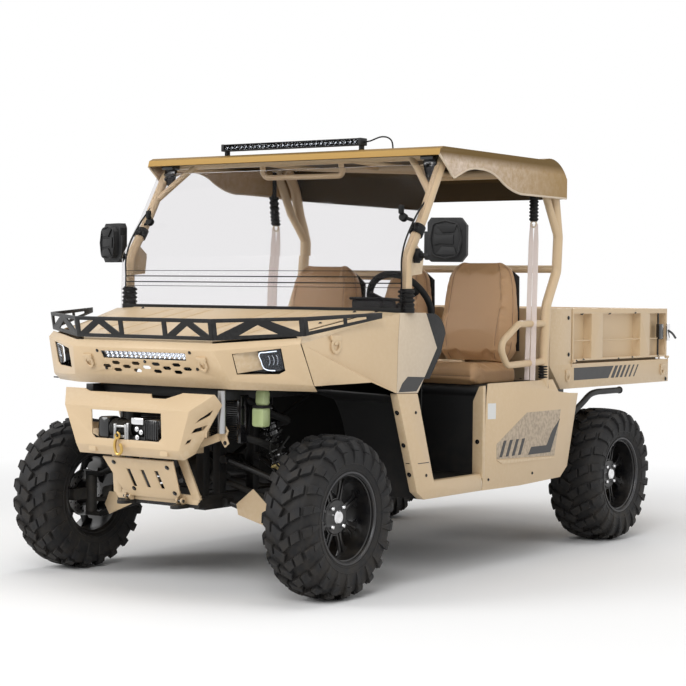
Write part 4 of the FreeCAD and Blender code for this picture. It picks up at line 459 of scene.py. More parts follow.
def modify(piece, kind, **values):
    """Adds one modifier and applies it."""
    only(piece)
    bpy.ops.object.modifier_add(type=kind)
    modifier = piece.modifiers[-1]
    for name, value in values.items():
        setattr(modifier, name, value)
    bpy.ops.object.modifier_apply(modifier=modifier.name)
    return piece


def bevelled(piece, width, **values):
    if width:
        modify(piece, "BEVEL", width=width, segments=2, limit_method="ANGLE", **values)
    return piece


def smooth(piece, angle=SMOOTH_ANGLE):
    only(piece)
    bpy.ops.object.shade_smooth_by_angle(angle=math.radians(angle))
    return piece


def settle(piece):
    """Puts a piece's place into its mesh."""
    only(piece)
    bpy.ops.object.transform_apply(location=True, rotation=True, scale=True)


def merged(name, pieces):
    """Joins pieces into one and names it."""
    only(*pieces)
    if len(pieces) > 1:
        bpy.ops.object.join()
    joined = bpy.context.object
    joined.name = name
    joined.data.name = name
    return joined


def with_mirror(pieces):
    """The left hand pieces and their right hand copies, turned the right way out."""
    twins = []
    for piece in pieces:
        twin = piece.copy()
        twin.data = piece.data.copy()
        twin.data.transform(MIRROR)
        twin.data.flip_normals()
        bpy.context.scene.collection.objects.link(twin)
        twins.append(twin)
    return list(pieces) + twins


def loose_mesh(name, points, faces, edges=()):
    mesh = bpy.data.meshes.new(name)
    mesh.from_pydata([tuple(point) for point in points], list(edges), faces)
    mesh.update()
    piece = bpy.data.objects.new(name, mesh)
    bpy.context.scene.collection.objects.link(piece)
    return piece


def slab(name, outline, direction, depth, bevel=0.0):
    """A flat outline of points pushed out along a direction, with its edges rounded."""
    piece = loose_mesh(name, outline, [tuple(range(len(outline)))])
    push = {"TRANSFORM_OT_translate": {"value": tuple(Vector(direction).normalized() * depth)}}
    return bevelled(edited(piece, ("extrude_region_move", push), OUTWARD), bevel)


def brick(name, low, high, bevel=0.002):
    """A rounded block between two corners."""
    clear_selection()
    low, high = Vector(low), Vector(high)
    bpy.ops.mesh.primitive_cube_add(size=1.0, location=(low + high) / 2)
    piece = bpy.context.object
    piece.name = name
    piece.scale = [abs(amount) for amount in high - low]
    settle(piece)
    return bevelled(piece, bevel)


def turning(start, way, axis="X", up="Z"):
    """The matrix that turns an axis to a direction and moves it to a point."""
    return Matrix.Translation(Vector(start)) @ Vector(way).to_track_quat(axis, up).to_matrix().to_4x4()


def barrel(name, radius, start, end, sides=24, bevel=0.0):
    """A round bar between two points."""
    clear_selection()
    start, end = Vector(start), Vector(end)
    bpy.ops.mesh.primitive_cylinder_add(vertices=sides, radius=radius, depth=(end - start).length)
    piece = bpy.context.object
    piece.name = name
    piece.data.transform(turning((start + end) / 2, end - start, "Z", "Y"))
    return bevelled(piece, bevel, angle_limit=ROUND_ANGLE)


def turned(name, profile, sides, centre=(0, 0, 0), way=LEFT, closed=True):
    """A profile of (along, radius) pairs spun round a direction through a centre."""
    last = len(profile) - 1
    edges = [(i, i + 1) for i in range(last)] + ([(last, 0)] if closed else [])
    piece = loose_mesh(name, [(along, 0.0, radius) for along, radius in profile], [], edges)
    spin = {"steps": sides, "dupli": False, "angle": math.tau, "center": (0, 0, 0), "axis": (1, 0, 0)}
    edited(piece, ("spin", spin), ("remove_doubles", {"threshold": SPIN_GAP}), OUTWARD)
    piece.data.transform(turning(centre, way))
    return piece


def bolt(centre, direction, radius=None, height=0.004):
    """A six-sided bolt head on a round washer."""
    radius = radius or sizes().bolt_radius
    centre, way = Vector(centre), Vector(direction).normalized()
    washer_top = 0.0016
    washer = barrel("washer", radius * 1.45, centre - way * 0.002, centre + way * washer_top, 16)
    head = barrel("head", radius, centre, centre + way * (height + washer_top), 6, 0.0012)
    return [washer, head]


def new_curve(name, kind, points, radius, resolution, smoothness):
    """A round tube as a curve: its object and its spline, with one control point for each point."""
    curve = bpy.data.curves.new(name, "CURVE")
    curve.dimensions = "3D"
    curve.bevel_depth = radius
    curve.bevel_resolution = resolution
    curve.use_fill_caps = True
    curve.resolution_u = smoothness
    spline = curve.splines.new(kind)
    places = spline.bezier_points if kind == "BEZIER" else spline.points
    places.add(len(points) - 1)
    for place, point in zip(places, points):
        place.co = point if kind == "BEZIER" else (*point, 1.0)
    holder = bpy.data.objects.new(name, curve)
    bpy.context.scene.collection.objects.link(holder)
    return holder, spline


def pipe(name, points, radius, sides=14, smoothness=6, closed=False):
    """A round tube along a smooth line through points, as a mesh."""
    holder, spline = new_curve(name, "BEZIER", points, radius, max(1, sides // 4 - 1), smoothness)
    for place in spline.bezier_points:
        place.handle_left_type = "AUTO"
        place.handle_right_type = "AUTO"
    spline.use_cyclic_u = closed
    only(holder)
    bpy.ops.object.convert(target="MESH")
    return bpy.context.object


def coil(name, start, end, radius, wire, turns):
    """A compression spring round the line between two points, its turns closer at both ends."""
    start, end = Vector(start), Vector(end)
    way = turning(start, end - start, "Z", "Y")
    steps, closing = 16, 0.15
    total = turns * steps
    points = []
    for i in range(total + 1):
        angle, share = math.tau * i / steps, i / total
        eased = share - math.sin(math.tau * share) / math.tau * closing
        points.append(way @ Vector((radius * math.cos(angle), radius * math.sin(angle),
                                    (end - start).length * eased)))
    return pipe(name, points, wire, 8, 2)


def rounded_copy(name, node, width):
    """A copy of a CAD node with its flat faces made whole again and its sharp edges rounded."""
    piece = bpy.data.objects.new(name, frame["nodes"][node].data.copy())
    piece.data.name = name
    piece.data.materials.clear()
    bpy.context.scene.collection.objects.link(piece)
    only(piece)
    bpy.ops.mesh.customdata_custom_splitnormals_clear()
    edited(piece, ("remove_doubles", {"threshold": NODE_GAP}),
           ("dissolve_limited", {"angle_limit": FLAT_ANGLE}))
    bevelled(piece, width, angle_limit=SHARP_ANGLE, use_clamp_overlap=True, miter_outer="MITER_PATCH")
    return smooth(piece)


def dressed(piece, finish, body, slot, *nodes):
    """Gives a finished piece its material and the body it rides on, and hides the nodes that it stands for;
    the slot is not used.
    """
    piece.data.materials.clear()
    piece.data.materials.append(bpy.data.materials[finish])
    settle(piece)
    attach(piece, body)
    if nodes:
        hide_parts(*nodes)
    return piece


def fitted(name, parts, finish, slot, *nodes, body="chassis", twins=True, angle=SMOOTH_ANGLE):
    """One dressed piece from left hand parts, mirrored too for twins; smoothed if an angle is given."""
    piece = merged(name, with_mirror(parts) if twins else parts)
    if angle:
        smooth(piece, angle)
    return dressed(piece, finish, body, slot, *nodes)


# Tyres and rims

WHEEL_SIDES = 96
HUB_SIDES = 64


def carcass_profile(half, radius, lip):
    """A tyre's skin as (along, radius) pairs from the middle of the tread round to the bead."""
    crown = radius - wheels().lug_height
    tread_drops = ((0.0, 0.0), (0.30, 0.0005), (0.58, 0.003), (0.78, 0.011), (0.91, 0.026), (0.972, 0.048),
                   (0.992, 0.074), (0.985, 0.098))
    bead_rises = ((0.955, 0.017), (0.912, 0.006), (0.885, -0.002))
    return ([(share * half, crown - drop) for share, drop in tread_drops]
            + [(share * half, lip + rise) for share, rise in bead_rises]
            + [(0.865 * half, BEAD_SEAT + 0.0004)])


def on_carcass(skin, across, proud):
    """A point on the skin at a distance across the tread, measured along the skin, standing proud of it."""
    left = abs(across)
    for (x0, r0), (x1, r1) in zip(skin, skin[1:]):
        step = math.hypot(x1 - x0, r1 - r0)
        if left <= step or (x1, r1) == skin[-1]:
            share = min(1.0, left / step)
            normal = Vector((-(r1 - r0), 0.0, x1 - x0)).normalized()
            x = x0 + (x1 - x0) * share + normal.x * proud
            r = r0 + (r1 - r0) * share + normal.z * proud
            return math.copysign(x, across) if across else x, r
        left -= step
    return skin[-1]


def lug_block(corners, outer_top, inner_top, skin, radius):
    """One tread block: four flat corners (across, along) wrapped round the tyre and raised from its skin."""
    steps, taper, root, shoulder = 3, 0.0015, -0.004, 0.0022
    (a0, s0), (a1, s1), (a2, s2), (a3, s3) = corners
    centre_a = (a0 + a1 + a2 + a3) / 4
    centre_s = (s0 + s1 + s2 + s3) / 4
    points, faces = [], []
    for level, draw in enumerate((0.0, 0.6 * taper, 1.6 * taper)):
        for i in range(steps + 1):
            share = i / steps
            top = outer_top + (inner_top - outer_top) * share
            proud = (root, top - shoulder, top)[level]
            for j in (0, 1):
                across = (a0 + (a1 - a0) * share) * (1 - j) + (a3 + (a2 - a3) * share) * j
                along = (s0 + (s1 - s0) * share) * (1 - j) + (s3 + (s2 - s3) * share) * j
                across += math.copysign(min(draw, abs(centre_a - across)), centre_a - across)
                along += math.copysign(min(draw, abs(centre_s - along)), centre_s - along)
                x, r = on_carcass(skin, across, proud)
                points.append((x, r * math.sin(along / radius), r * math.cos(along / radius)))
    ring = (steps + 1) * 2
    for base in (0, ring):
        for i in range(steps):
            for j in (0, 1):
                a = base + i * 2 + j
                face = (a, a + 2, a + 2 + ring, a + ring)
                faces.append(face[::-1] if j else face)
        for i in (0, steps):
            a = base + i * 2
            face = (a + 1, a, a + ring, a + 1 + ring)
            faces.append(face[::-1] if i else face)
    for i in range(0, steps * 2, 2):
        a = 2 * ring + i
        faces += [(a, a + 2, a + 3, a + 1), (i, i + 1, i + 3, i + 2)]
    return points, faces


def tread(half, radius, skin):
    """All the blocks of a tyre's tread: slanted pairs each side of the middle and ribs down the shoulder."""
    count, top = wheels().lug_count, wheels().lug_height
    pitch = math.tau * radius / count
    shapes = (
        (((-0.10, 0.32), (0.34, -0.02), (0.36, 0.42), (0.02, 0.70)), 1.0, 1.0),
        (((0.40, -0.07), (0.72, -0.30), (0.76, 0.12), (0.42, 0.37)), 1.0, 1.0),
        (((0.79, -0.34), (1.16, -0.50), (1.14, -0.06), (0.82, 0.08)), 0.97, 0.62),
        (((1.15, -0.48), (1.62, -0.44), (1.60, -0.22), (1.14, -0.10)), 0.58, 0.10),
    )
    points, faces = [], []
    for i in range(count):
        for sign, offset in ((1, 0.0), (-1, 0.5)):
            for corners, outer, inner in shapes:
                flat = [(sign * a * half, -(s + i + offset) * pitch) for a, s in corners]
                some, sides = lug_block(flat, top * outer, top * inner, skin, radius)
                start = len(points)
                points += some
                faces += [tuple(start + k for k in (side if sign < 0 else side[::-1])) for side in sides]
    return edited(loose_mesh("tread", points, faces), OUTWARD)


def set_wheel(piece, side, axle_y):
    """Takes a left wheel's piece, made round X, to its place, turned the right way out."""
    low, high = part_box("tyre_front_left")
    centre = (side * HALF_TRACK, axle_y, (low.z + high.z) / 2)
    piece.data.transform(Matrix.Translation(centre) @ Matrix.Diagonal((side, 1, 1, 1)))
    if side < 0:
        piece.data.flip_normals()


def make_tyre(half, radius, lip):
    skin = carcass_profile(half, radius, lip)
    bead, heel, rib, toe = skin[7], skin[8], skin[9], skin[11]
    inside = [(toe[0] - 0.010, toe[1]), (heel[0] - 0.012, heel[1] + 0.01), (0.93 * half, radius - 0.10),
              (0.6 * half, radius - 0.034)]
    half_profile = skin + inside
    profile = half_profile + [(-x, r) for x, r in reversed(half_profile)][:-1]
    parts = [turned("skin", profile, WHEEL_SIDES), tread(half, radius, skin)]
    bead_marks = ((0.0006, 0.003), (0.0022, 0.0), (0.0006, -0.003), (-0.002, 0.0))
    rib_marks = ((0.0012, 0.004), (0.003, 0.001), (0.001, -0.003), (-0.002, 0.0))
    for sign in (1, -1):
        for name, (x, r), marks in (("bead_line", bead, bead_marks), ("bead_rib", rib, rib_marks)):
            edge = [(sign * (x + out), r + rise) for out, rise in marks]
            parts.append(turned(name, edge, WHEEL_SIDES))
    return merged("tyre", parts)


def make_rim(half, lip):
    """A black rim with spokes, its grey lip ring, and the bright cap and nuts."""
    seat = BEAD_SEAT
    face = half - 0.072
    well = [
        (half, lip - 0.0005), (half + 0.0005, lip - 0.008), (half - 0.003, lip - 0.0115),
        (half - 0.010, lip - 0.0135), (half - 0.016, seat - 0.004), (half - 0.030, seat - 0.0075),
        (face - 0.008, seat - 0.009), (face - 0.020, seat - 0.0095), (-half + 0.02, seat - 0.0095),
        (-half + 0.004, lip - 0.012), (-half, lip), (-half + 0.008, lip), (-half + 0.0085, seat),
        (half - 0.0085, seat), (half - 0.008, lip)]
    disc = [(face + 0.003, 0.030), (face + 0.003, 0.070), (face - 0.001, 0.074), (face - 0.001, 0.078),
            (face - 0.012, 0.078), (face - 0.018, 0.060), (face - 0.018, 0.030)]
    brake = [(-0.026, 0.050), (-0.026, 0.108), (-0.020, 0.108), (-0.020, 0.050)]
    hub = [(-0.030, 0.0), (-0.030, 0.034), (-0.020, 0.050), (0.0, 0.050), (face - 0.018, 0.044),
           (face - 0.018, 0.0)]
    parts = [turned("well", well, WHEEL_SIDES), turned("hub_disc", disc, HUB_SIDES),
             turned("brake_disc", brake, HUB_SIDES), turned("hub", hub, 40, closed=False)]
    spoke_outline = [(-0.020, 0.070), (0.020, 0.070), (0.016, 0.110), (0.022, seat - 0.030),
                     (0.052, seat - 0.006), (-0.052, seat - 0.006), (-0.022, seat - 0.030), (-0.016, 0.110)]
    slope = 0.06
    spoke_points = [(face - 0.002 - slope * (r - 0.07), w, r) for w, r in spoke_outline]
    rib_points = [(face + 0.0035, 0.006, 0.074), (face + 0.0035, -0.006, 0.074),
                  (face - 0.002, -0.0045, seat - 0.012), (face - 0.002, 0.0045, seat - 0.012)]
    count = wheels().spoke_count
    for i in range(count):
        for name, points, depth, bevel in (("spoke", spoke_points, 0.010, 0.0022),
                                           ("rib", rib_points, 0.008, 0.0015)):
            part = slab(name, points, -LEFT, depth, bevel)
            part.data.transform(Matrix.Rotation(math.tau * (i + 0.5) / count, 4, "X"))
            parts.append(part)
    lip_ring = [(half + 0.0012, lip - 0.001), (half + 0.0016, lip - 0.0085), (half - 0.003, lip - 0.0120),
                (half - 0.011, lip - 0.0142), (half - 0.0115, lip - 0.0125), (half - 0.004, lip - 0.0105),
                (half - 0.0005, lip - 0.0075), (half - 0.0008, lip - 0.0015)]
    cap = [(face + 0.003, 0.030), (face + 0.016, 0.029), (face + 0.021, 0.024), (face + 0.022, 0.010),
           (face + 0.019, 0.0)]
    bright = [turned("cap", cap, 32, closed=False)]
    nuts, nut_circle = 4, 0.055
    for i in range(nuts):
        angle = math.tau * (i + 0.5) / nuts
        y, z = nut_circle * math.sin(angle), nut_circle * math.cos(angle)
        tip = [(face + 0.015, 0.0095), (face + 0.019, 0.007), (face + 0.0205, 0.0)]
        bright += [barrel("nut", 0.0105, (face - 0.002, y, z), (face + 0.016, y, z), 6, 0.002),
                   turned("nut_tip", tip, 12, (0, y, z), closed=False)]
    return merged("rim", parts), turned("lip", lip_ring, WHEEL_SIDES), merged("cap", bright)


def brake_disc():
    """A steel disc on the inner side of a wheel, and black dots on its face: painted shade for each drilled
    hole, which is not cut.
    """
    back, hole_count = -0.026, 30
    ring = turned("disc", [(back, 0.062), (back, 0.1065), (back - 0.0014, 0.1065), (back - 0.0014, 0.062)],
                  HUB_SIDES)
    hole_shades = []
    for i in range(hole_count):
        angle = math.tau * i / hole_count
        radius = (0.074, 0.086, 0.097)[i % 3]
        spot = Vector((back - 0.0012, radius * math.cos(angle), radius * math.sin(angle)))
        hole_shades.append(barrel("hole", 0.0040, spot, spot - LEFT * 0.0006, 12))
    return ring, merged("hole_shades", hole_shades)


class VEHICLE_OT_wheels(bpy.types.Operator):
    """Adds the four lugged tyres and their dished rims"""
    bl_idname = "vehicle.wheels"
    bl_label = "Wheels"

    def execute(self, context):
        for place, (side, axle_y) in WHEEL_PLACES.items():
            tyre, rim = "tyre_" + place, "rim_" + place
            low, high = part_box(tyre)
            rim_low, rim_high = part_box(rim)
            outer = max(abs(rim_low.x), abs(rim_high.x)) - HALF_TRACK
            lip = (rim_high.z - rim_low.z) / 2
            pieces = (make_tyre((high.x - low.x) / 2, (high.z - low.z) / 2, lip), *make_rim(outer, lip),
                      *brake_disc())
            for piece, (name, angle, finish, slot, *nodes) in zip(pieces, (
                    ("tyre_skin_%s", 32.0, "tyre rubber", "tyre_rubber", tyre),
                    ("rim_body_%s", 34.0, "rim black", "rim_black", rim),
                    ("rim_body_%s_lip", 40.0, "rim lip", "rim_black", rim),
                    ("rim_body_%s_cap", 34.0, "bright chrome", "bare_steel"),
                    ("brake_disc_%s", SMOOTH_ANGLE, "bare steel", "bare_steel"),
                    # Black dots on each brake disc: painted shade standing in for each drilled hole.
                    ("brake_disc_%s_holes", 0.0, "gloss black", "black_steel"))):
                set_wheel(merged(name % place, [piece]), side, axle_y)
                if angle:
                    smooth(piece, angle)
                dressed(piece, finish, "wheel_" + place, slot, *nodes)
        return {"FINISHED"}


# Nose

NOSE = {
    "top_mid": (0.391, FRONT_AXLE - 0.385, 1.032), "top_out": (0.709, FRONT_AXLE - 0.211, 1.065),
    "low_mid": (0.434, FRONT_AXLE - 0.326, 0.907),
}


class Facet:
    """A flat part of the nose: places on it are given along its top edge, down and out of it."""

    def __init__(self, start, end, low):
        self.start = Vector(start)
        self.along = (Vector(end) - self.start).normalized()
        self.out = (Vector(low) - self.start).cross(self.along).normalized()
        if self.out.y > 0:
            self.out = -self.out
        self.down = self.along.cross(self.out).normalized()
        if self.down.z > 0:
            self.down = -self.down

    def spot(self, along, down, out=0.0):
        return self.start + self.along * along + self.down * down + self.out * out

    def slab(self, name, corners, near, far, bevel=0.0):
        points = [self.spot(along, down, near) for along, down in corners]
        return slab(name, points, self.out, far - near, bevel)

    def square(self, name, along, down, half, near, far, bevel):
        corners = [(along + x * half, down + z * half) for x, z in ((-1, -1), (1, -1), (1, 1), (-1, 1))]
        return self.slab(name, corners, near, far, bevel)

    def crescent(self, name, middle, sweep, span, out, radius, sides):
        """A bent bar that stands upright in a lamp."""
        steps = 8
        angles = [math.radians(sweep * (2 * i / steps - 1)) for i in range(steps + 1)]
        bend = [self.spot(middle - 0.008 + 0.0150 * math.cos(a), 0.060 + span * math.sin(a), out)
                for a in angles]
        return pipe(name, bend, radius, sides, 3)


def middle_facet():
    start, low = (MIRROR @ Vector(NOSE[corner]) for corner in ("top_mid", "low_mid"))
    return Facet(start, NOSE["top_mid"], low)


def strip_light():
    """The bar of diodes behind the slot: its reflectors, the diodes and their clear front."""
    face = middle_facet()
    count, first, last, bed = 17, 0.186, 0.612, -0.0096
    cup = [(0.0, 0.0058), (0.0042, 0.0068), (0.0046, 0.0062), (0.0006, 0.0036)]
    reflectors = [face.slab("strip_bed", [(0.160, 0.0185), (0.622, 0.0185), (0.616, 0.0500), (0.166, 0.0500)],
                            -0.0118, bed, 0.0006)]
    diodes = []
    for row in (0.027, 0.041):
        for i in range(count):
            along = first + (last - first) / (count - 1) * i
            reflectors.append(turned("cup", cup, 12, face.spot(along, row, bed), face.out))
            diodes.append(face.square("diode", along, row, 0.0034, bed, -0.0082, 0.0004))
    cover = face.slab("strip_cover", [(0.158, 0.0180), (0.624, 0.0180), (0.618, 0.0506), (0.164, 0.0506)],
                      -0.0048, -0.0036, 0.0004)
    return reflectors, diodes, [cover]


def headlamp():
    """The left headlamp: a tan ramp, a black body, a bright edge strip, three crescents and the glass."""
    face = Facet(NOSE["top_mid"], NOSE["top_out"], NOSE["low_mid"])
    ramp = slab("ramp", [face.spot(*place) for place in (
        (0.081, 0.0235, -0.0046), (0.178, 0.0200, -0.036), (0.192, 0.1040, -0.036),
        (0.091, 0.1050, -0.0046))], -face.out, 0.003)
    outline = [(0.186, 0.0235), (0.276, 0.0200), (0.2815, 0.1010), (0.2575, 0.1095), (0.200, 0.0985)]
    body = [face.slab("lens_rim", outline, -0.0118, -0.0095, 0.0008)]
    shine = []
    for middle, span in ((0.224, 0.02625), (0.241, 0.025), (0.257, 0.0225)):
        body.append(face.crescent("crescent_rim", middle, 62, span, -0.0085, 0.0034, 10))
        shine.append(face.crescent("crescent", middle, 55, 0.025, -0.0062, 0.0016, 8))
    strip = [face.spot(*place) for place in (
        (0.247, 0.1050, -0.0080), (0.212, 0.0985, -0.0076), (0.2015, 0.0900, -0.0076),
        (0.1935, 0.0600, -0.0076), (0.1900, 0.0290, -0.0076), (0.215, 0.0255, -0.0076),
        (0.262, 0.0240, -0.0080))]
    edge = pipe("edge_strip", strip, 0.0024, 10, 4)
    glass = face.slab("lamp_cover", outline, -0.0040, -0.0024, 0.0006)
    return [ramp], body, [edge], shine, [glass]


def ring_badge(centre, out, size=0.021):
    """A plain ring hung from a small lug, raised from a panel."""
    out = Vector(out).normalized()
    side = UP.cross(out).normalized()
    spin = Matrix((side, out.cross(side).normalized(), out)).transposed().to_4x4()
    clear_selection()
    bpy.ops.mesh.primitive_torus_add(major_radius=size, minor_radius=size * 0.30, major_segments=28,
                                     minor_segments=8)
    ring = bpy.context.object
    ring.data.transform(Matrix.Translation((0.0, -size * 0.35, size * 0.22))
                        @ Matrix.Diagonal((0.9, 1.12, 0.8, 1.0)))
    lug = brick("lug", (-size * 1.15, size * 0.55, -0.001), (size * 1.15, size * 1.45, size * 0.42), 0.0016)
    tab = brick("tab", (-size * 0.42, -size * 0.2, -0.001), (size * 0.42, size * 0.8, size * 0.34), 0.0014)
    piece = merged("badge", [ring, lug, tab])
    piece.data.transform(Matrix.Translation(Vector(centre)) @ spin)
    return smooth(piece, 40.0)


class VEHICLE_OT_nose(bpy.types.Operator):
    """Adds the lamps, bolts and plain badges of the nose"""
    bl_idname = "vehicle.nose"
    bl_label = "Nose"

    def execute(self, context):
        reflectors, diodes, cover = strip_light()
        fitted("strip_reflectors", reflectors, "bright chrome", "lamp", twins=False)
        fitted("strip_diodes", diodes, "lamp diode", "lamp", twins=False, angle=0)
        fitted("strip_cover", cover, "lamp lens", "lamp", twins=False, angle=0)
        for parts, (name, finish, slot) in zip(headlamp(), (
                ("lamp_ramps", "sand paint", "sand_paint"), ("lamp_bodies", "gloss black", "lamp"),
                ("lamp_edges", "lamp diode", "lamp"), ("lamp_arcs", "bright chrome", "lamp"),
                ("lamp_glass", "lamp lens", "lamp"))):
            fitted(name, parts, finish, slot)
        face = middle_facet()
        heads = []
        for along, down in ((0.135, 0.017), (0.655, 0.012), (0.158, 0.100), (0.672, 0.088), (0.391, 0.062)):
            heads += bolt(face.spot(along, down), face.out, 0.0052)
        fitted("grille_bolts", heads, "gloss black", "black_steel", twins=False)
        badges = [ring_badge(face.spot(along, down, 0.0006), face.out)
                  for along, down in ((0.072, 0.064), (0.712, 0.060))]
        spot, out, _, _ = skin_of("front_side_panels").ray_cast(at(900, -26, 1065), -LEFT, 0.4)
        badges += with_mirror([ring_badge(spot, out, 0.024)])
        fitted("ring_badges", badges, "sand paint", "sand_paint", twins=False, angle=0)
        return {"FINISHED"}


class VEHICLE_OT_cable(bpy.types.Operator):
    """Adds the free cable from the light bar to the roof"""
    bl_idname = "vehicle.cable"
    bl_label = "Light bar cable"

    def execute(self, context):
        route = [(0.404, -0.6705, 1.962), (0.434, -0.6705, 1.962), (0.464, -0.6685, 1.973),
                 (0.496, -0.6645, 1.983), (0.530, -0.6585, 1.979), (0.552, -0.6535, 1.957),
                 (0.552, -0.6535, 1.925)]
        cable, spline = new_curve("bar_cable", "NURBS", route, 0.0035, 4, 10)
        spline.order_u = 3
        spline.use_endpoint_u = True
        cable.data.materials.append(bpy.data.materials["soft rubber"])
        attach(cable, "chassis")
        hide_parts("light_bar_cable")
        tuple(route[0])
        return {"FINISHED"}


# Soft parts

def lofted(name, rings):
    """A closed skin through rings of equally many points, capped at both ends."""
    count = len(rings[0])
    points = [point for ring in rings for point in ring]
    faces = []
    for level in range(len(rings) - 1):
        for i in range(count):
            a, b = level * count + i, level * count + (i + 1) % count
            faces.append((a, b, b + count, a + count))
    faces.append(tuple(range(count))[::-1])
    faces.append(tuple(len(points) - count + i for i in range(count)))
    return edited(loose_mesh(name, points, faces), OUTWARD)


def stuffed(piece, voxel, cap, low, high):
    """Fills a closed form with cloth pressure; no point moves further than the cap or out of its box."""
    modify(piece, "REMESH", mode="VOXEL", voxel_size=voxel)
    rest = [point.co.copy() for point in piece.data.vertices]
    only(piece)
    bpy.ops.object.modifier_add(type="CLOTH")
    cloth = piece.modifiers[-1]
    cloth.settings.use_pressure = True
    cloth.settings.uniform_pressure_force = CUSHION_PRESSURE
    cloth.settings.effector_weights.gravity = 0.0
    cloth.point_cache.frame_end = CLOTH_FRAMES
    for moment in range(1, CLOTH_FRAMES + 1):
        bpy.context.scene.frame_set(moment)
    bpy.ops.object.modifier_apply(modifier=cloth.name)
    bpy.context.scene.frame_set(1)
    for point, start in zip(piece.data.vertices, rest):
        move = point.co - start
        if move.length > cap:
            point.co = start + move.normalized() * cap
        for i in range(3):
            point.co[i] = min(max(point.co[i], low[i]), high[i])
    piece.data.update()
    modify(piece, "SUBSURF", levels=1)


def laid_on(piece, points, lift):
    """Points dropped on a piece's surface, each from its own side, and lifted by a little."""
    surface = BVHTree.FromObject(piece, bpy.context.evaluated_depsgraph_get())
    laid = []
    for point in points:
        spot, normal, _, _ = surface.find_nearest(Vector(point))
        laid.append(spot + normal * lift)
    return laid


def sewn(piece, paths, width, depth):
    """Presses a seam into a cushion under each path of points, and lays a thread in it."""
    spacing, thread_radius = 0.004, 0.0016
    paths = [laid_on(piece, path, 0.0) for path in paths]
    samples = []
    for path in paths:
        for start, end in zip(path, path[1:]):
            steps = max(1, int((end - start).length / spacing))
            samples += [start.lerp(end, i / steps) for i in range(steps + 1)]
    tree = KDTree(len(samples))
    for i, sample in enumerate(samples):
        tree.insert(sample, i)
    tree.balance()
    normals = [point.normal.copy() for point in piece.data.vertices]
    for point, normal in zip(piece.data.vertices, normals):
        away = tree.find(point.co)[2]
        if away < width:
            point.co -= normal * depth * (1 - away / width) ** 2
    piece.data.update()
    smooth(piece, 60.0)
    return [pipe("thread", laid_on(piece, path, 0.0004), thread_radius, 8, 2) for path in paths]


SEAT_BACKS = (("left", 0.496, 0.222, 1.454), ("middle", 0.020, 0.205, 1.436), ("right", -0.496, 0.222, 1.454))
SEAT_FOOT = 0.932


def between(marks, z):
    """The second value of (z, value) marks at a height, straight from mark to mark."""
    for (z0, y0), (z1, y1) in zip(marks, marks[1:]):
        if z <= z1:
            return y0 + (y1 - y0) * (z - z0) / (z1 - z0)
    return marks[-1][1]


def seat_front(z, top):
    """Y of a seat back's front face at a height."""
    return between(((0.930, 0.1445), (0.985, 0.1310), (1.040, 0.1275), (1.120, 0.1400), (1.200, 0.1640),
                    (1.320, 0.1800), (top - 0.022, 0.1960), (top, 0.2220)), z)


def seat_rear(z, top):
    return between(((0.930, 0.2380), (0.965, 0.2800), (top - 0.034, 0.2660), (top, 0.2300)), z)


def seat_back(name, middle, half, top):
    """A seat back that narrows to its foot and rounds over at the shoulders, and the threads of its seams."""
    levels = ((0.0, 0.74), (0.04, 0.80), (0.10, 0.88), (0.20, 0.945), (0.34, 0.985), (0.50, 0.985),
              (0.64, 0.965), (0.76, 0.93), (0.86, 0.87), (0.93, 0.78), (0.975, 0.66), (1.0, 0.52))
    front_half = ((-0.985, 0.022), (-0.93, 0.004), (-0.80, -0.001), (-0.66, 0.008), (-0.3, 0.004))
    rings, rolls, edges = [], ([], []), ([], [])
    for share, wide in levels:
        z = SEAT_FOOT + (top - 0.003 - SEAT_FOOT) * share
        near, far, w = seat_front(z, top) + 0.004, seat_rear(z, top) - 0.004, half * wide
        mid = (near + far) / 2
        front = [(x, near + inset) for x, inset in front_half]
        ring = ([(-1.0, mid)] + front + [(0.0, near + 0.003)] + [(-x, y) for x, y in reversed(front)]
                + [(1.0, mid), (0.96, far - 0.012), (0.85, far), (0.0, far), (-0.85, far),
                   (-0.96, far - 0.012)])
        rings.append([(middle + x * w, y, z) for x, y in ring])
        if 0.0 < share < 1.0:
            for roll, edge, sign in zip(rolls, edges, (-1, 1)):
                front_y, rear_y = seat_front(z, top), seat_rear(z, top)
                roll.append((middle + sign * w * 0.66, front_y, z))
                edge.append((middle + sign * w * 0.99, (front_y + rear_y) / 2 - 0.02, z))
    piece = lofted(name, rings)
    low, high = (middle - half, 0.1250, 0.9300), (middle + half, 0.2860, top - 0.0005)
    stuffed(piece, 0.0085, sizes().cushion_swell, low, high)
    return piece, sewn(piece, rolls + edges, 0.010, 0.0042)


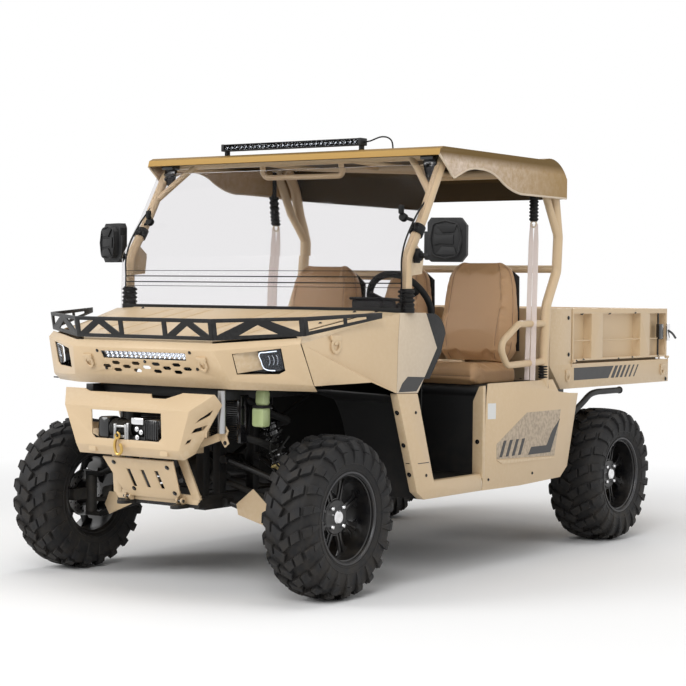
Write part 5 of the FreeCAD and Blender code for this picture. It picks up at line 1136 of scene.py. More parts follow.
def seat_cushion():
    """The bench cushion: a front roll, raised outer ends, and the threads between its three places."""
    profile = ((-0.2120, 0.878), (-0.2105, 0.905), (-0.2085, 0.930), (-0.190, 0.944), (-0.160, 0.948),
               (-0.120, 0.943), (-0.060, 0.930), (0.02, 0.925), (0.120, 0.926), (0.2400, 0.926),
               (0.2440, 0.856), (0.10, 0.853), (-0.05, 0.853), (-0.135, 0.853))
    rings = []
    for x in (-0.714, -0.706, -0.690, -0.60, -0.48, -0.30, -0.235, -0.17, 0.0, 0.20, 0.265, 0.33, 0.48, 0.60,
              0.690, 0.706, 0.714):
        edge = max(0.0, (abs(x) - 0.685) / 0.029)
        pull = 0.93 if edge > 0.9 else 1.0
        away = min(1.0, abs(abs(x) - 0.48) / 0.22)
        hollow = max(0.0, 0.006 * math.cos(math.pi * away)) if abs(x) > 0.26 else 0.0
        ring = []
        for y, z in profile:
            if z >= 0.87:
                z -= 0.012 * edge + (hollow if -0.15 < y < 0.2 else 0.0)
            ring.append((x, (y - 0.02) * pull + 0.02, z))
        rings.append(ring)
    piece = lofted("bench_cushion", rings)
    stuffed(piece, 0.0095, sizes().cushion_swell * 1.1, (-0.716, -0.2145, 0.8510), (0.716, 0.2470, 0.9530))
    paths = [[(x, y, z + 0.002) for y, z in profile[1:10]] for x in (-0.235, 0.265)]
    paths += [[(-0.70 + 0.05 * i, y, z) for i in range(29)] for y, z in ((-0.105, 0.942), (-0.213, 0.892))]
    return piece, sewn(piece, paths, 0.011, 0.0045)


class VEHICLE_OT_seats(bpy.types.Operator):
    """Adds the bench cushion and the three seat backs with their seams"""
    bl_idname = "vehicle.seats"
    bl_label = "Seats"

    def execute(self, context):
        cushion, threads = seat_cushion()
        dressed(cushion, "seat leather", "chassis", "seat_cover", "bench_seat")
        for place, middle, half, top in SEAT_BACKS:
            back, seams = seat_back("seat_back_" + place, middle, half, top)
            threads += seams
            dressed(back, "seat leather", "chassis", "seat_cover", "bench_seat")
            marks = ((0.84, 0.2790, 1.000), (0.84, 0.2700, top - 0.09), (0.6, 0.2690, top - 0.05))
            outline = [(middle + half * wide, y, z) for wide, y, z in marks]
            outline += [(middle - half * wide, y, z) for wide, y, z in reversed(marks)]
            shell = slab("shell", outline, BACK, 0.007, 0.003)
            fitted("shell_" + place, [shell], "moulded black", "seat_cover", twins=False)
        fitted("seat_threads", threads, "seat piping", "seat_cover", twins=False, angle=60.0)
        return {"FINISHED"}


def ribbed(centre, radius, length, ribs):
    """A corrugated rubber sleeve that hangs from its upper end."""
    profile = [(0.0, radius * 0.55), (0.0, radius * 0.9)]
    step = length / ribs
    for i in range(ribs):
        profile += [(step * (i + share), radius * wide)
                    for share, wide in ((0.18, 1.0), (0.52, 1.0), (0.72, 0.80), (0.92, 0.80))]
    profile += [(length, radius * 0.7), (length, radius * 0.45)]
    return smooth(turned("sleeve", profile, 28, centre, -UP), 36.0)


class VEHICLE_OT_belts(bpy.types.Operator):
    """Adds the ribbed belt boots, their guide rings and the webbing beside the seats"""
    bl_idname = "vehicle.belts"
    bl_label = "Seat belts"

    def execute(self, context):
        x, y, boot_top = CAGE_HALF - 0.010, REAR_AXLE - 0.872, ROOF_TOP - 0.1775
        ring_z = boot_top - 0.130
        boots = [ribbed((x, y, boot_top), 0.0225, 0.118, 7),
                 barrel("stalk", 0.010, (x - 0.004, y, boot_top - 0.004),
                        (x - 0.010, y, ROOF_TOP - 0.085), 16),
                 brick("hanger", (x - 0.006, y - 0.010, boot_top - 0.012),
                       (x + 0.006, y + 0.010, boot_top + 0.010), 0.003)]
        fitted("belt_boots", boots, "soft rubber", "webbing", "seat_belts", angle=0)
        clear_selection()
        bpy.ops.mesh.primitive_torus_add(major_radius=0.015, minor_radius=0.0045, major_segments=28,
                                         minor_segments=10)
        ring = bpy.context.object
        ring.data.transform(Matrix.Translation((x, y, ring_z)) @ Matrix.Rotation(math.pi / 2, 4, "X"))
        fitted("belt_rings", [ring], "sand paint light", "webbing")
        floor_z, floor_y, half_thick = 0.866, REAR_AXLE - 0.920, 0.001
        straps = []
        for shift, foot, wide in ((-0.012, 0.000, 0.0125), (0.015, 0.032, 0.0140)):
            rings = []
            for share in (0.0, 0.04, 0.12, 0.3, 0.5, 0.7, 0.88, 1.0):
                z = ring_z + (floor_z - ring_z) * share
                cy = y + (floor_y - y) * share
                cx = x + shift + (foot - shift) * share
                w = wide * (0.62 + 0.38 * min(1.0, share * 8))
                rings.append([(cx - w, cy - half_thick, z), (cx, cy - 0.0014, z),
                              (cx + w, cy - half_thick, z), (cx + w, cy + half_thick, z),
                              (cx, cy + 0.0008, z), (cx - w, cy + half_thick, z)])
            straps.append(lofted("strap", rings))
        fitted("belt_straps", straps, "belt webbing", "webbing", "seat_belts", angle=50.0)
        return {"FINISHED"}


# Fittings laid over the sheet metal

REACH = 0.6
OUTSIDE = 900


def at(across, behind, up):
    """A spot given in millimetres: across, behind the front axle, and up."""
    return Vector((across / 1000, FRONT_AXLE + behind / 1000, up / 1000))


def blocks(**corners):
    """Rounded blocks, each name=(low spot, high spot, bevel)."""
    return [brick(name, at(*low), at(*high), bevel) for name, (low, high, bevel) in corners.items()]


def bar(radius, start, end, sides=24, bevel=0.0):
    return barrel("bar", radius, at(*start), at(*end), sides, bevel)


def pipe_at(places, radius, sides=14):
    return pipe("pipe", [at(*place) for place in places], radius, sides)


def upright(behind, outline, depth, bevel):
    """A plate that stands across the vehicle, from an outline of (across, up) spots."""
    return slab("plate", [at(x, behind, z) for x, z in outline], BACK, depth, bevel)


def skin_of(*nodes):
    """A search tree over the faces of CAD nodes."""
    points, faces = [], []
    for node in nodes:
        mesh = frame["nodes"][node].data
        base = len(points)
        points += [vertex.co.copy() for vertex in mesh.vertices]
        faces += [[base + i for i in polygon.vertices] for polygon in mesh.polygons]
    return BVHTree.FromPolygons(points, faces)


def bolted(skin, places, way, radius=None):
    """Bolt heads where lines from spots meet a surface."""
    heads = []
    for place in places:
        spot, out, _, _ = skin.ray_cast(at(*place), way, REACH)
        if spot is not None:
            heads += bolt(spot, out if out.dot(way) < 0 else -out, radius)
    return heads


def side_plate(skin, outline, depth=0.0006):
    """A thin plate on the left side of a surface, under an outline of (behind, up) spots."""
    sunk = 0.0002
    starts = [at(OUTSIDE, behind, up) for behind, up in outline]
    points = [(skin.ray_cast(start, -LEFT, REACH)[0] or start) - LEFT * sunk for start in starts]
    return slab("plate", points, LEFT, depth + sunk)


def bar_details():
    """Reflector cups, diodes, trim with fins, and the clear front of the light bar."""
    low_z, high_z, face, count, reach, half = 1947, 1977, 642, 28, 372, 388
    middle_z = (low_z + high_z) / 2
    cup = [(0.0, 0.0085), (0.0065, 0.0112), (0.0072, 0.0104), (0.0012, 0.0045)]
    cups, diodes, trim = [], [], []
    for i in range(count):
        centre = at(reach * (2 * i / (count - 1) - 1), face, middle_z)
        cups.append(turned("cup", cup, 14, centre, -BACK))
        diodes.append(barrel("diode", 0.0034, centre, centre - BACK * 0.002, 10))
    for z in (low_z - 1, high_z - 3):
        trim += blocks(rail=((-404, face - 9, z), (404, face + 1, z + 4), 0.001))
    for side in (1, -1):
        trim += blocks(end=((side * 390, face - 10, low_z - 2), (side * 408, 684, high_z + 2), 0.003))
        trim += bolt(at(side * 408, 662, middle_z), LEFT * side, 0.005)
    for i in range(5):
        trim += blocks(fin=((-half, 681, low_z + 3 + i * 5.5), (half, 690, low_z + 5 + i * 5.5), 0.0))
    return cups, diodes, trim, blocks(cover=((-half, face - 8, low_z + 2), (half, face - 7, high_z - 2), 0.0))


def mirror_details():
    """Border, raised pads and knuckle of the left mirror, and its glass."""
    swing = Matrix.Translation(at(963, 500, 1508)) @ Matrix.Rotation(math.radians(18), 4, "Z")
    border = [(-0.058, -0.056), (-0.046, -0.070), (0.042, -0.070), (0.058, -0.052), (0.058, 0.052),
              (0.042, 0.070), (-0.046, 0.070), (-0.058, 0.058)]
    parts = [pipe("border", [(x, -0.0455, z) for x, z in border], 0.0045, 10, 2, True)]
    for outline in (((-0.044, 0.066), (0.052, 0.066), (0.040, 0.032), (-0.014, 0.028)),
                    ((-0.044, -0.066), (0.052, -0.066), (0.040, -0.032), (-0.014, -0.028)),
                    ((-0.052, 0.026), (-0.024, 0.018), (0.036, 0.022), (0.036, -0.022), (-0.024, -0.018),
                     (-0.052, -0.026))):
        parts.append(slab("pad", [(x, -0.043, z) for x, z in outline], -BACK, 0.008, 0.003))
    parts.append(barrel("knuckle", 0.019, (-0.100, -0.006, -0.068), (-0.078, -0.006, -0.068), 20, 0.004))
    parts.append(brick("upright", (-0.101, -0.022, -0.080), (-0.083, 0.004, 0.036), 0.004))
    pane = [(-0.078, -0.066), (-0.064, -0.086), (0.058, -0.086), (0.078, -0.062), (0.078, 0.060),
            (0.056, 0.086), (-0.064, 0.086), (-0.078, 0.068)]
    glass = slab("glass", [(x, 0.0158, z) for x, z in pane], BACK, 0.0016, 0.0005)
    for piece in parts + [glass]:
        piece.data.transform(swing)
    return parts, [glass]


def roof_lips():
    """A rounded lip along the lower edge of both roof skirts."""
    skin = skin_of("roof_panel")
    lips = []
    for side in (1, -1):
        spots = [skin.ray_cast(at(side * 845.5, 607 + 20.7 * i, 1600), UP, 0.5)[0] for i in range(57)]
        line = [spot + Vector((side * 0.001, 0.0, 0.003)) for spot in spots if spot is not None]
        lips.append(pipe("lip", line, 0.0052, 10, 2))
    return lips


def dash_details():
    """Instrument pod, switches, lid, vents and grab bar on the dashboard."""
    parts = blocks(
        pod=((352, 628, 1184), (528, 726, 1262), 0.014), hood=((346, 622, 1256), (534, 744, 1268), 0.005),
        lid=((-640, 764, 1012), (-300, 774, 1140), 0.006),
        latch=((-490, 772, 1118), (-450, 779, 1132), 0.002),
        centre=((-150, 760, 930), (170, 776, 1160), 0.012))
    for x in range(-110, 142, 42):
        parts += blocks(switch=((x, 774, 1096), (x + 28, 781, 1136), 0.003))
    parts.append(pipe_at([(-640, 764, 1168), (-630, 800, 1172), (-470, 806, 1174), (-310, 800, 1172),
                          (-300, 764, 1168)], 0.010))
    vent = [(0.0, 0.040), (0.006, 0.038), (0.006, 0.030), (0.001, 0.028)]
    parts += [turned("vent", vent, 24, at(x, 766, 1120), BACK) for x in (620, 210, -245, -690)]
    return parts, blocks(screen=((366, 724, 1196), (514, 729, 1252), 0.002))


class VEHICLE_OT_fittings(bpy.types.Operator):
    """Adds details of the light bar, mirrors, roof, dash and windshield, and bolts and plain bands"""
    bl_idname = "vehicle.fittings"
    bl_label = "Cab fittings"

    def execute(self, context):
        cups, diodes, trim, cover = bar_details()
        fitted("bar_cups", cups, "gloss black", "lamp", twins=False)
        fitted("bar_diodes", diodes, "bare steel", "lamp", twins=False, angle=0)
        fitted("bar_trim", trim, "moulded black", "black_plastic", twins=False)
        fitted("cover", cover, "lamp lens", "lamp", twins=False, angle=0)
        ribs, glass = mirror_details()
        fitted("mirror_trim", ribs, "moulded black", "black_plastic")
        fitted("mirror_glass", glass, "mirror glass", "black_plastic", angle=0)
        fitted("roof_lip", roof_lips(), "sand paint light", "roof_plastic", twins=False)
        dash, screen = dash_details()
        fitted("dash_fittings", dash, "moulded black", "black_plastic", twins=False)
        fitted("screen", screen, "gloss black", "black_plastic", twins=False, angle=0)
        self.windshield()
        self.brackets()
        self.panels()
        return {"FINISHED"}

    def windshield(self):
        """Dark strips across the screen, its rubber edges and the knobs of its clamps."""
        strips = blocks(foot=((-800, 383, 1193), (800, 400, 1212), 0.003))
        for z, half in ((1319, 2.4), (1346, 2.4), (1372, 1.2), (1300, 1.2)):
            strips += blocks(strip=((-788, 388, z - half), (788, 400, z + half), 0.0005))
        edges = [
            pipe_at([(796, 393, 1205), (796, 395, 1330), (796, 398, 1446), (796, 481, 1588), (796, 592, 1698),
                     (796, 703, 1808)], 0.0042, 10),
            bar(0.019, (735, 484, 1612), (735, 508, 1604), 20, 0.004),
            bar(0.008, (735, 500, 1608), (775, 505, 1596), 12),
            bar(0.024, (806, 482, 1440), (838, 482, 1440), 24, 0.004),
            ribbed(at(798, 430, 1290), 0.0375, 0.094, 5)]
        edges += blocks(handle=((722, 470, 1622), (742, 494, 1662), 0.006),
                        mount=((808, 462, 1408), (826, 500, 1472), 0.005))
        fitted("windshield_rubbers", strips + with_mirror(edges), "soft rubber", "rubber", twins=False)

    def brackets(self):
        """Black brackets between the front corners of the roof and the pillars."""
        parts = blocks(plate=((722, 640, 1868), (790, 700, 1896), 0.004))
        web = [(724, 1870), (790, 1870), (808, 1800), (772, 1792), (744, 1772), (728, 1820)]
        parts.append(upright(664, web, 0.020, 0.003))
        for radius, x, z in ((0.011, 742, 1845), (0.009, 776, 1822)):
            parts.append(bar(radius, (x, 655, z), (x, 690, z), 16, 0.002))
        for z in (1852, 1826):
            parts += bolt(at(758, 664, z), -BACK, 0.006)
        fitted("roof_brackets", parts, "gloss black", "black_steel")

    def panels(self):
        """Bolts, seams and plain bands of the side panels and hood, and the shelf behind the seats."""
        side = skin_of("sill_panels", "seat_box_panels", "cowl_panels", "front_side_panels")
        heads = bolted(side, [(806, 200, 763), (806, 250, 620), (806, 320, 489)], BACK)
        heads += bolt(at(800, 1035, 597), -BACK)
        heads += bolted(side, [(OUTSIDE, behind, up) for behind, up in (
            (470, 760), (560, 480), (1090, 420), (1500, 420))], -LEFT, 0.005)
        heads += bolted(skin_of("sill_panels"), [(682, 960, 520), (670, 700, 520)], -UP, 0.006)
        line = [side.ray_cast(at(x, 330, 540), BACK, 0.4)[0] for x in (782, 800, 818)]
        line += [side.ray_cast(at(OUTSIDE, behind, 536), -LEFT, 0.12)[0] for behind in (500, 530, 560, 580)]
        heads.append(pipe("seam", [spot for spot in line if spot is not None], 0.0018, 8, 1))
        fitted("panel_bolts", heads, "gloss black", "black_steel")
        top = bolted(skin_of("hood"), [(x, y, 1300) for x in (-610, 610) for y in (310, 60)], -UP, 0.006)
        fitted("hood_bolts", top, "gloss black", "black_steel", body="hood", twins=False)
        bands = [side_plate(side, [(533, 912), (400, 918), (359, 889), (334, 853), (473, 852)]),
                 side_plate(side, [(1769, 669), (1690, 613), (1636, 546), (1487, 547), (1457, 511),
                                   (1676, 510)], 0.0014)]
        for y in range(1186, 1361, 58):
            bands.append(side_plate(side, [(y, 516), (y + 26, 516), (y + 66, 592), (y + 40, 592)], 0.0014))
        fitted("plain_bands", bands, "decal grey", "sand_paint", angle=0)
        patch = side_plate(side, [(1443, 714), (1776, 714), (1717, 490), (1162, 510), (1160, 579)], 0.0008)
        fitted("pale_patches", [patch], "worn decal", "sand_paint", angle=0)
        ledge = [side_plate(side, [(1162, 505), (1717, 487), (1718, 478), (1210, 484)], 0.004),
                 upright(1035, [(774, 430), (774, 784), (806, 852), (828.5, 856), (828.5, 430)],
                         0.022, 0.0012)]
        ledge += blocks(shelf=((327, 1420, 915), (474, 1452, 955), 0.005))
        fitted("box_ledges", ledge, "sand paint", "sand_paint")
        label = side_plate(side, [(1078, 773), (1150, 771), (1150, 698), (1078, 700)], 0.001)
        fitted("blank_labels", [label], "blank label", "sand_paint", angle=0)


# Bed and underbody

class VEHICLE_OT_bed(bpy.types.Operator):
    """Adds the bolts, rods, latches, bands and badges of the load bed and the tubes under it"""
    bl_idname = "vehicle.bed"
    bl_label = "Load bed"

    def execute(self, context):
        for hand, sign in (("left", 1), ("right", -1)):
            self.gate("gate_" + hand, hand, sign)
        skin = skin_of("bed_tub")
        bands = [side_plate(skin, [(2032, 909), (2470, 909), (2410, 846), (2032, 846)])]
        for i in range(6):
            start, wide = 2490 + i * 52, 34 - i * 4
            bands.append(side_plate(skin, [(start, 909), (start + wide, 909), (start + wide - 52, 846),
                                           (start - 52, 846)]))
        fitted("bed_bands", bands, "decal grey", "sand_paint", body="bed", angle=0)
        spots = [skin.ray_cast(at(OUTSIDE, behind, up), -LEFT, REACH)[0]
                 for behind, up in ((1960, 872), (3049, 875))]
        fitted("bed_badges", [ring_badge(spot, LEFT, 0.019) for spot in spots], "sand paint", "sand_paint",
               body="bed", angle=0)
        heads = bolted(skin, [(OUTSIDE, behind, up) for behind, up in (
            (1966, 1162), (1972, 978), (1860, 820), (3100, 820))], -LEFT)
        tail = bolted(skin, [(x, 3400, z) for x in (-640, -320, 320, 640) for z in (818, 905)], -BACK, 0.006)
        for x in (-560, -280, 0, 280, 560):
            for behind in (1850, 2350, 2850):
                spot = skin.ray_cast(at(x, behind, 900), -UP, REACH)[0]
                if spot is not None:
                    tail += bolt(spot, UP, 0.006, 0.002)
        fitted("bed_bolts", with_mirror(heads) + tail, "gloss black", "black_steel", body="bed", twins=False)
        lamps = []
        for z in (846, 863, 880):
            lamps += blocks(rib=((600, 3136, z), (724, 3142, z + 12), 0.003))
        fitted("tail_lamp_ribs", lamps, "tail lens", "tail_lens", body="bed")
        # A darker sand strip inside the gap between the bed sides and the side gates: painted shade.
        seal = blocks(seal=((702, 2000, 918), (711, 3078, 946), 0.001))
        fitted("gate_seals", seal, "shaded sand paint", "sand_paint", body="bed", angle=0)
        self.below()
        return {"FINISHED"}

    def gate(self, body, hand, sign):
        """Bolts, a latch rod, its lever and its bright plate on one side gate."""
        parts = []
        for behind, up in ((2115, 1182), (2420, 1184), (2717, 1188), (2056, 945), (2133, 949), (2525, 945),
                           (2688, 949), (3002, 949)):
            parts += bolt(at(sign * 758, behind, up), UP if up < 1000 else -UP, 0.007)
        parts.append(pipe_at([(sign * 752, 3016, 1190), (sign * 752, 3016, 948)], 0.006, 10))
        parts.append(pipe_at([(sign * 776, 3098, 1088), (sign * 786, 3122, 1074), (sign * 788, 3166, 1046)],
                             0.0065, 12))
        parts += blocks(box=((sign * 744, 3008, 1040), (sign * 766, 3060, 1124), 0.004))
        plate = blocks(plate=((sign * 766, 3088, 1032), (sign * 775, 3124, 1125), 0.002))
        fitted("gate_latch_" + hand, parts, "gloss black", "black_steel", body=body, twins=False)
        fitted("gate_plate_" + hand, plate, "bright chrome", "bare_steel", body=body, twins=False)

    def below(self):
        """Black tubes beside the frame under the bed, and the ribbed sleeves at the feet of the hip hoops."""
        tube = pipe_at([(716, 1648, 470), (724, 1800, 545), (736, 1990, 640), (740, 2176, 729),
                        (740, 2250, 764), (740, 2306, 774), (740, 2420, 776), (740, 2578, 776)], 0.016, 18)
        end = bar(0.019, (740, 2576, 776), (740, 2590, 776), 24, 0.004)
        fitted("side_tubes", [tube, end], "black powder coat", "black_steel")
        fitted("hoop_sleeves", [ribbed(at(798, 1647, 932), 0.024, 0.064, 5)], "soft rubber", "rubber",
               angle=0)


def spring_unit(top, foot, turns):
    """A damper: its body, cap, eyes and spring, its bright rod, and the seat at the spring's foot."""
    top, foot = at(*top), at(*foot)
    way, reach = (foot - top).normalized(), (foot - top).length
    spring_foot = foot - way * 0.046
    dark = [barrel("body", 0.024, top + way * 0.022, top + way * (reach * 0.50), 24, 0.003),
            barrel("cap", 0.030, top + way * 0.018, top + way * 0.034, 24, 0.003),
            coil("spring", top + way * 0.040, spring_foot, 0.0345, 0.0058, turns)]
    dark += [barrel("eye", 0.016, spot - BACK * 0.020, spot + BACK * 0.020, 20, 0.002)
             for spot in (top, foot)]
    rod = barrel("rod", 0.0085, top + way * (reach * 0.48), foot - way * 0.012, 16)
    seat = [(0.0, 0.010), (0.0, 0.043), (0.007, 0.043), (0.012, 0.026), (0.026, 0.020), (0.026, 0.010)]
    return dark, [rod], [turned("seat", seat, 32, spring_foot, way)]


class VEHICLE_OT_running_gear(bpy.types.Operator):
    """Adds the spring units, the radiator fins and hoses, the winch parts and the skid plate bolts"""
    bl_idname = "vehicle.running_gear"
    bl_label = "Springs and nose parts"

    def execute(self, context):
        front = spring_unit((372, 0, 802), (470, 0, 503), 9)
        rear = spring_unit((252, 2425, 706), (470, 2425, 502), 8)
        for ahead, behind, (name, finish, slot) in zip(front, rear, (
                ("spring_units", "gloss black", "black_steel"), ("damper_rods", "cast metal", "bare_steel"),
                ("spring_seats", "spring seat", "sand_paint"))):
            fitted(name, ahead + behind, finish, slot, "shock_absorbers")
        self.cooling()
        self.winch()
        self.skid()
        return {"FINISHED"}

    def cooling(self):
        """Fins of the radiator, its bright upright tube, the overflow bottle and the hoses."""
        fins = []
        for z in range(656, 838, 9):
            fins += blocks(fin=((-262, -203, z), (382, -197, z + 3), 0.0))
        for x in (-272, 384):
            fins += blocks(tank=((x - 8, -206, 642), (x + 16, -150, 844), 0.006))
        fitted("radiator_fins", fins, "gloss black", "black_plastic", twins=False)
        tube = pipe_at([(390, -322, 866), (391, -322, 790), (392, -322, 690)], 0.0165, 24)
        fitted("bright_tube", [tube], "bare steel", "bare_steel", twins=False)
        bottle = blocks(base=((436, -184, 712), (500, -130, 796), 0.012),
                        top=((448, -178, 800), (500, -132, 868), 0.014))
        bottle.append(bar(0.014, (474, -155, 866), (474, -155, 882), 20, 0.002))
        fitted("overflow_bottle", bottle, "bottle plastic", "black_plastic", twins=False)
        hoses = blocks(strap=((446, -190, 792), (502, -128, 804), 0.003))
        for radius, sides, places in (
                (0.015, 14, ((386, -160, 826), (420, -120, 800), (452, -60, 760), (440, 60, 730),
                             (300, 160, 700))),
                (0.015, 14, ((386, -160, 664), (430, -100, 640), (420, 10, 600), (300, 140, 560))),
                (0.004, 8, ((505, -60, 700), (470, -90, 640), (470, -60, 560), (520, -20, 505))),
                (0.004, 8, ((520, -30, 670), (505, -70, 600), (530, -50, 520), (580, -20, 470)))):
            hoses.append(pipe_at(places, radius, sides))
        fitted("hoses", hoses, "soft rubber", "rubber", twins=False)

    def winch(self):
        """Winch body with its ribs, bright gear cover, bolts, rope and hook."""
        ends = blocks(left=((88, -462, 648), (168, -380, 742), 0.014),
                      right=((-174, -460, 648), (-112, -380, 742), 0.012))
        for x in range(96, 168, 12):
            ends += blocks(rib=((x, -465, 654), (x + 4, -458, 736), 0.0012))
        fitted("winch_ends", ends, "gloss black", "black_steel", twins=False)
        cover = blocks(cover=((16, -461, 716), (84, -452, 745), 0.005))
        for x, z in ((47, 698), (70, 686), (49, 663)):
            cover += bolt(at(x, -457, z), -BACK)
        fitted("winch_cover", cover, "bright chrome", "bare_steel", twins=False)
        rope = [coil("rope", at(-108, -424, 694), at(12, -424, 694), 0.033, 0.0045, 13),
                pipe_at([(-38, -458, 694), (-40, -478, 680), (-38, -480, 662)], 0.0045, 10)]
        fitted("winch_rope", rope, "cast metal", "black_steel", twins=False)
        guide = [bar(0.008, (x, -466, 652), (x, -466, 716), 16, 0.002) for x in (-66, -6)]
        guide += [bar(0.007, (-70, -464, z), (-2, -464, z), 16, 0.002) for z in (664, 706)]
        guide += blocks(cheek=((-4, -468, 648), (8, -452, 722), 0.002))
        fitted("rope_guide", guide, "bare steel", "bare_steel", twins=False)
        hook = pipe_at([(-40, -482, 664), (-52, -483, 640), (-52, -483, 612), (-38, -483, 590),
                        (-20, -483, 596), (-16, -483, 618), (-24, -483, 634)], 0.0065, 12)
        eye = pipe_at([(-40, -482, 682), (-28, -482, 672), (-34, -482, 658), (-48, -482, 660),
                       (-52, -482, 674)], 0.005, 10)
        fitted("winch_hook", [hook, eye], "gold plate", "bare_steel", twins=False)

    def skid(self):
        """Bolts of the skid plate, its columns and beam, the bumper arms and their brackets."""
        heads = bolted(skin_of("front_skid_plate"), [(x, -600, z) for x, z in (
            (-145, 544), (151, 538), (-90, 430), (135, 424))], BACK)
        for x, z in ((396, 700), (398, 650)):
            heads += with_mirror(bolt(at(x, -307, z), -BACK, 0.006))
        for side in (1, -1):
            heads.append(bar(0.007, (side * 126, -296, 391), (side * 170, -296, 391), 16, 0.002))
        fitted("skid_bolts", heads, "gloss black", "black_steel", twins=False)
        column = [at(160, -334, 576), at(208, -334, 576), at(246, -278, 400), at(200, -278, 400)]
        beam = [at(-246, -280, 418), at(246, -280, 418), at(224, -272, 376), at(-224, -272, 376)]
        pairs = [slab("column", column, BACK, 0.012, 0.002),
                 upright(-304, [(276, 657), (365, 692), (366, 657), (261, 621)], 0.008, 0.0015),
                 upright(-306, [(396, 721), (412, 700), (403, 677), (415, 648), (395, 631), (377, 655),
                                (362, 672), (362, 690), (377, 704)], 0.008, 0.0015)]
        lug = ((-278, 412), (-306, 402), (-310, 388), (-300, 376), (-278, 376))
        singles = [slab("lug", [at(x, y, z) for y, z in lug], LEFT, 0.007, 0.002)
                   for x in (-158, -132, 132, 158)]
        singles.append(slab("beam", beam, BACK, 0.012, 0.002))
        fitted("nose_brackets", with_mirror(pairs) + singles, "sand paint", "sand_paint", twins=False)


PLAIN_COPIES = {
    ("sand paint", 0.0008): ("front_fascia",),
    ("sand paint", 0.0012): ("cage_front", "cage_rear", "cage_rails"),
    ("sand paint", 0.002): ("bed_tub", "side_gate_left", "side_gate_right", "tailgate"),
    ("sand paint", 0.003): ("front_side_panels", "hood", "seat_box_panels", "winch_bumper",
                            "front_skid_plate"),
    ("sand paint", 0.004): ("sill_panels",),
    ("sand paint light", 0.003): ("cowl_panels",),
    ("black powder coat", 0.0012): ("front_arms", "rear_arms"),
    ("black powder coat", 0.0018): ("hood_guard",),
    ("black powder coat", 0.002): ("chassis_frame",),
    ("moulded black", 0.0015): ("wheel_arch_liners",),
    ("moulded black", 0.002): ("light_bar", "winch", "radiator"),
    ("moulded black", 0.004): ("seat_base",),
    ("moulded black", 0.006): ("dashboard",),
    ("moulded black", 0.008): ("mirrors",),
    ("gloss black", 0.002): ("headlamps",),
    ("soft rubber", 0.001): ("steering_wheel",),
    ("soft rubber", 0.0012): ("windshield_clamps",),
    ("underbody", 0.001): ("steering_column",),
    ("underbody", 0.0015): ("floor_pan",),
    ("cast metal", 0.001): ("driveline",),
    ("cast metal", 0.002): ("knuckle_left", "knuckle_right"),
    ("cast metal", 0.006): ("engine_block",),
    ("muffler metal", 0.004): ("muffler",),
    ("roof moulding", 0.002): ("roof_panel",),
    ("clear sheet", 0.0008): ("windshield",),
    ("tail lens", 0.002): ("tail_lamps",),
}


class VEHICLE_OT_panels(bpy.types.Operator):
    """Dresses the sheet metal, frame and other hard pieces with rounded edges and their finishes"""
    bl_idname = "vehicle.panels"
    bl_label = "Panels and frame"

    def execute(self, context):
        slots = {part["node"]: part["material_slot"] for part in frame["record"]["subparts"]}
        for (finish, width), nodes in PLAIN_COPIES.items():
            for node in nodes:
                piece = rounded_copy(node + "_skin", node, width)
                dressed(piece, finish, frame["nodes"][node]["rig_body"], slots[node], node)
        return {"FINISHED"}


# Stage

SURROUND_LEVEL = 0.36
CAMERA_PLACE = (5.101, -7.4205, 1.274)
CAMERA_YAW = 35.42
CAMERA_PITCH = -1.58
CAMERA_ROLL = 0.64
FOCAL_PIXELS = 1806.0
PHOTO_PIXELS = 686.0
SENSOR_WIDTH = 36.0
LIGHTS_AIM = Vector((0, 0, 0.8))
FLOOR_TONE = (0.93, 0.93, 0.93, 1.0)


class VEHICLE_OT_stage(bpy.types.Operator):
    """Sets up the pale floor, the soft lights and the camera"""
    bl_idname = "vehicle.stage"
    bl_label = "Stage"

    def execute(self, context):
        clear_selection()
        bpy.ops.mesh.primitive_circle_add(vertices=96, radius=60.0, fill_type="NGON",
                                          location=(0.0, 0.0, 0.0))
        floor = bpy.context.object
        floor.name = "floor"
        tree, shader = new_material("pale floor", Roughness=0.95, Specular_IOR_Level=0.0,
                                    Emission_Strength=1.0)
        reach = add(tree, "VectorMath", (("operation", "LENGTH"),), i0=object_place(tree)).outputs["Value"]
        far = mapped(tree, reach, 2.6, 5.2)
        for label, near_tone, far_tone in (("Base Color", FLOOR_TONE, BLACK),
                                           ("Emission Color", BLACK, WHITE)):
            tree.links.new(blend_colour(tree, far, near_tone, far_tone), shader[label])
        floor.data.materials.append(bpy.data.materials["pale floor"])
        for name, place, size, power in (
                ("key", (4.5, -9.0, 6.8), 5.0, 400.0), ("fill", (-5.0, -8.0, 4.8), 5.0, 360.0),
                ("side", (8.0, 2.0, 4.0), 4.5, 90.0), ("top", (0.5, -0.5, 9.0), 7.0, 285.0),
                ("back", (-3.0, 9.0, 5.0), 4.0, 140.0)):
            bpy.ops.object.light_add(type="AREA", location=place)
            lamp = bpy.context.object
            lamp.name = name + "_light"
            lamp.data.shape = "DISK"
            lamp.data.size = size
            lamp.data.energy = power
            lamp.rotation_euler = (LIGHTS_AIM - Vector(place)).to_track_quat("-Z", "Y").to_euler()
        set_world()
        set_camera()
        bpy.context.scene.view_settings.view_transform = "Standard"
        return {"FINISHED"}


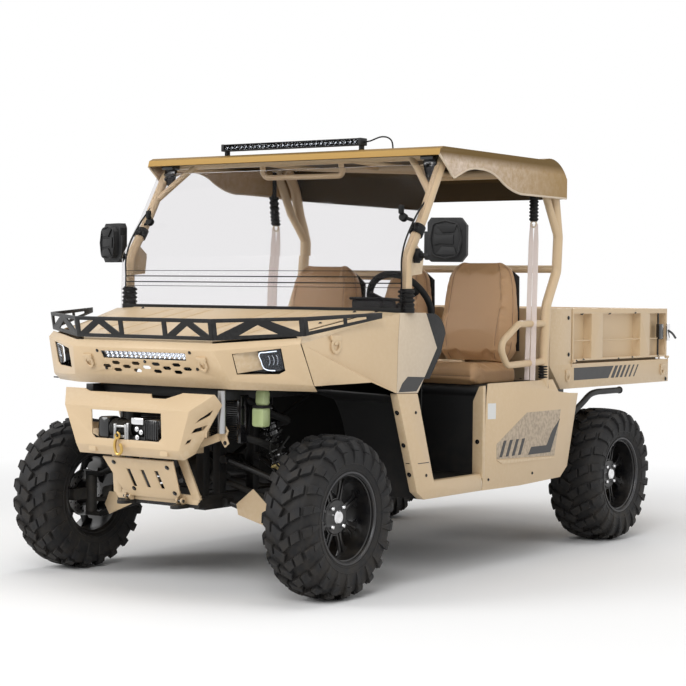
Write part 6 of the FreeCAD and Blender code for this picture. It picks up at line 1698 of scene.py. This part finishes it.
def set_world():
    """A pale surround: white to the camera and in reflections, plain daylight level on the object."""
    world = bpy.data.worlds.new("surround")
    bpy.context.scene.world = world
    world.use_nodes = True
    tree = world.node_tree
    tree.nodes.clear()
    path = add(tree, "LightPath").outputs
    seen = calculate(tree, "MAXIMUM", path["Is Camera Ray"],
                     calculate(tree, "MAXIMUM", path["Is Glossy Ray"], path["Is Transmission Ray"]))
    strength = mapped(tree, seen, 0.0, 1.0, SURROUND_LEVEL, 1.0)
    backdrop = add(tree, "Background", (), Color=WHITE, Strength=strength)
    tree.links.new(backdrop.outputs[0], add(tree, "OutputWorld").inputs["Surface"])


def set_camera():
    yaw, pitch, roll = (math.radians(a) for a in (CAMERA_YAW, CAMERA_PITCH, CAMERA_ROLL))
    ahead = Vector((-math.sin(yaw) * math.cos(pitch), math.cos(yaw) * math.cos(pitch), math.sin(pitch)))
    right = Vector((math.cos(yaw), math.sin(yaw), 0.0))
    up = right.cross(ahead)
    level_right = right * math.cos(roll) + up * math.sin(roll)
    level_up = up * math.cos(roll) - right * math.sin(roll)
    bpy.ops.object.camera_add(location=CAMERA_PLACE)
    camera = bpy.context.object
    camera.name = "camera"
    camera.rotation_euler = Matrix((level_right, level_up, -ahead)).transposed().to_euler()
    camera.data.sensor_width = SENSOR_WIDTH
    camera.data.lens = FOCAL_PIXELS / PHOTO_PIXELS * SENSOR_WIDTH
    camera.data.clip_end = 200.0
    bpy.context.scene.camera = camera


OPERATORS = (VEHICLE_OT_stage, VEHICLE_OT_cable, VEHICLE_OT_wheels, VEHICLE_OT_panels, VEHICLE_OT_nose,
             VEHICLE_OT_seats, VEHICLE_OT_belts, VEHICLE_OT_fittings, VEHICLE_OT_bed, VEHICLE_OT_running_gear)
SETTINGS = {"vehicle_body": BodySizes, "vehicle_wheels": WheelSizes, "vehicle_finishes": Finishes}


class VEHICLE_PT_panel(bpy.types.Panel):
    """Lists the sizes, colours and pieces of the vehicle"""
    bl_idname = "VEHICLE_PT_panel"
    bl_label = "Vehicle"
    bl_space_type = "VIEW_3D"
    bl_region_type = "UI"
    bl_category = "Vehicle"

    def draw(self, context):
        for group in (sizes(), wheels(), colours()):
            for name in group.bl_rna.properties.keys():
                if name not in ("rna_type", "name"):
                    self.layout.prop(group, name)
        for operator in OPERATORS:
            self.layout.operator(operator.bl_idname)


CLASSES = (*SETTINGS.values(), *OPERATORS, VEHICLE_PT_panel)


def register():
    for entry in CLASSES:
        bpy.utils.register_class(entry)
    for name, group in SETTINGS.items():
        setattr(bpy.types.Scene, name, PointerProperty(type=group))


def unregister():
    for name in SETTINGS:
        delattr(bpy.types.Scene, name)
    for entry in reversed(CLASSES):
        bpy.utils.unregister_class(entry)


def main():
    register()
    make_finishes()
    for operator in OPERATORS:
        group, name = operator.bl_idname.split(".")
        getattr(getattr(bpy.ops, group), name)()


if __name__ == "__main__":
    main()
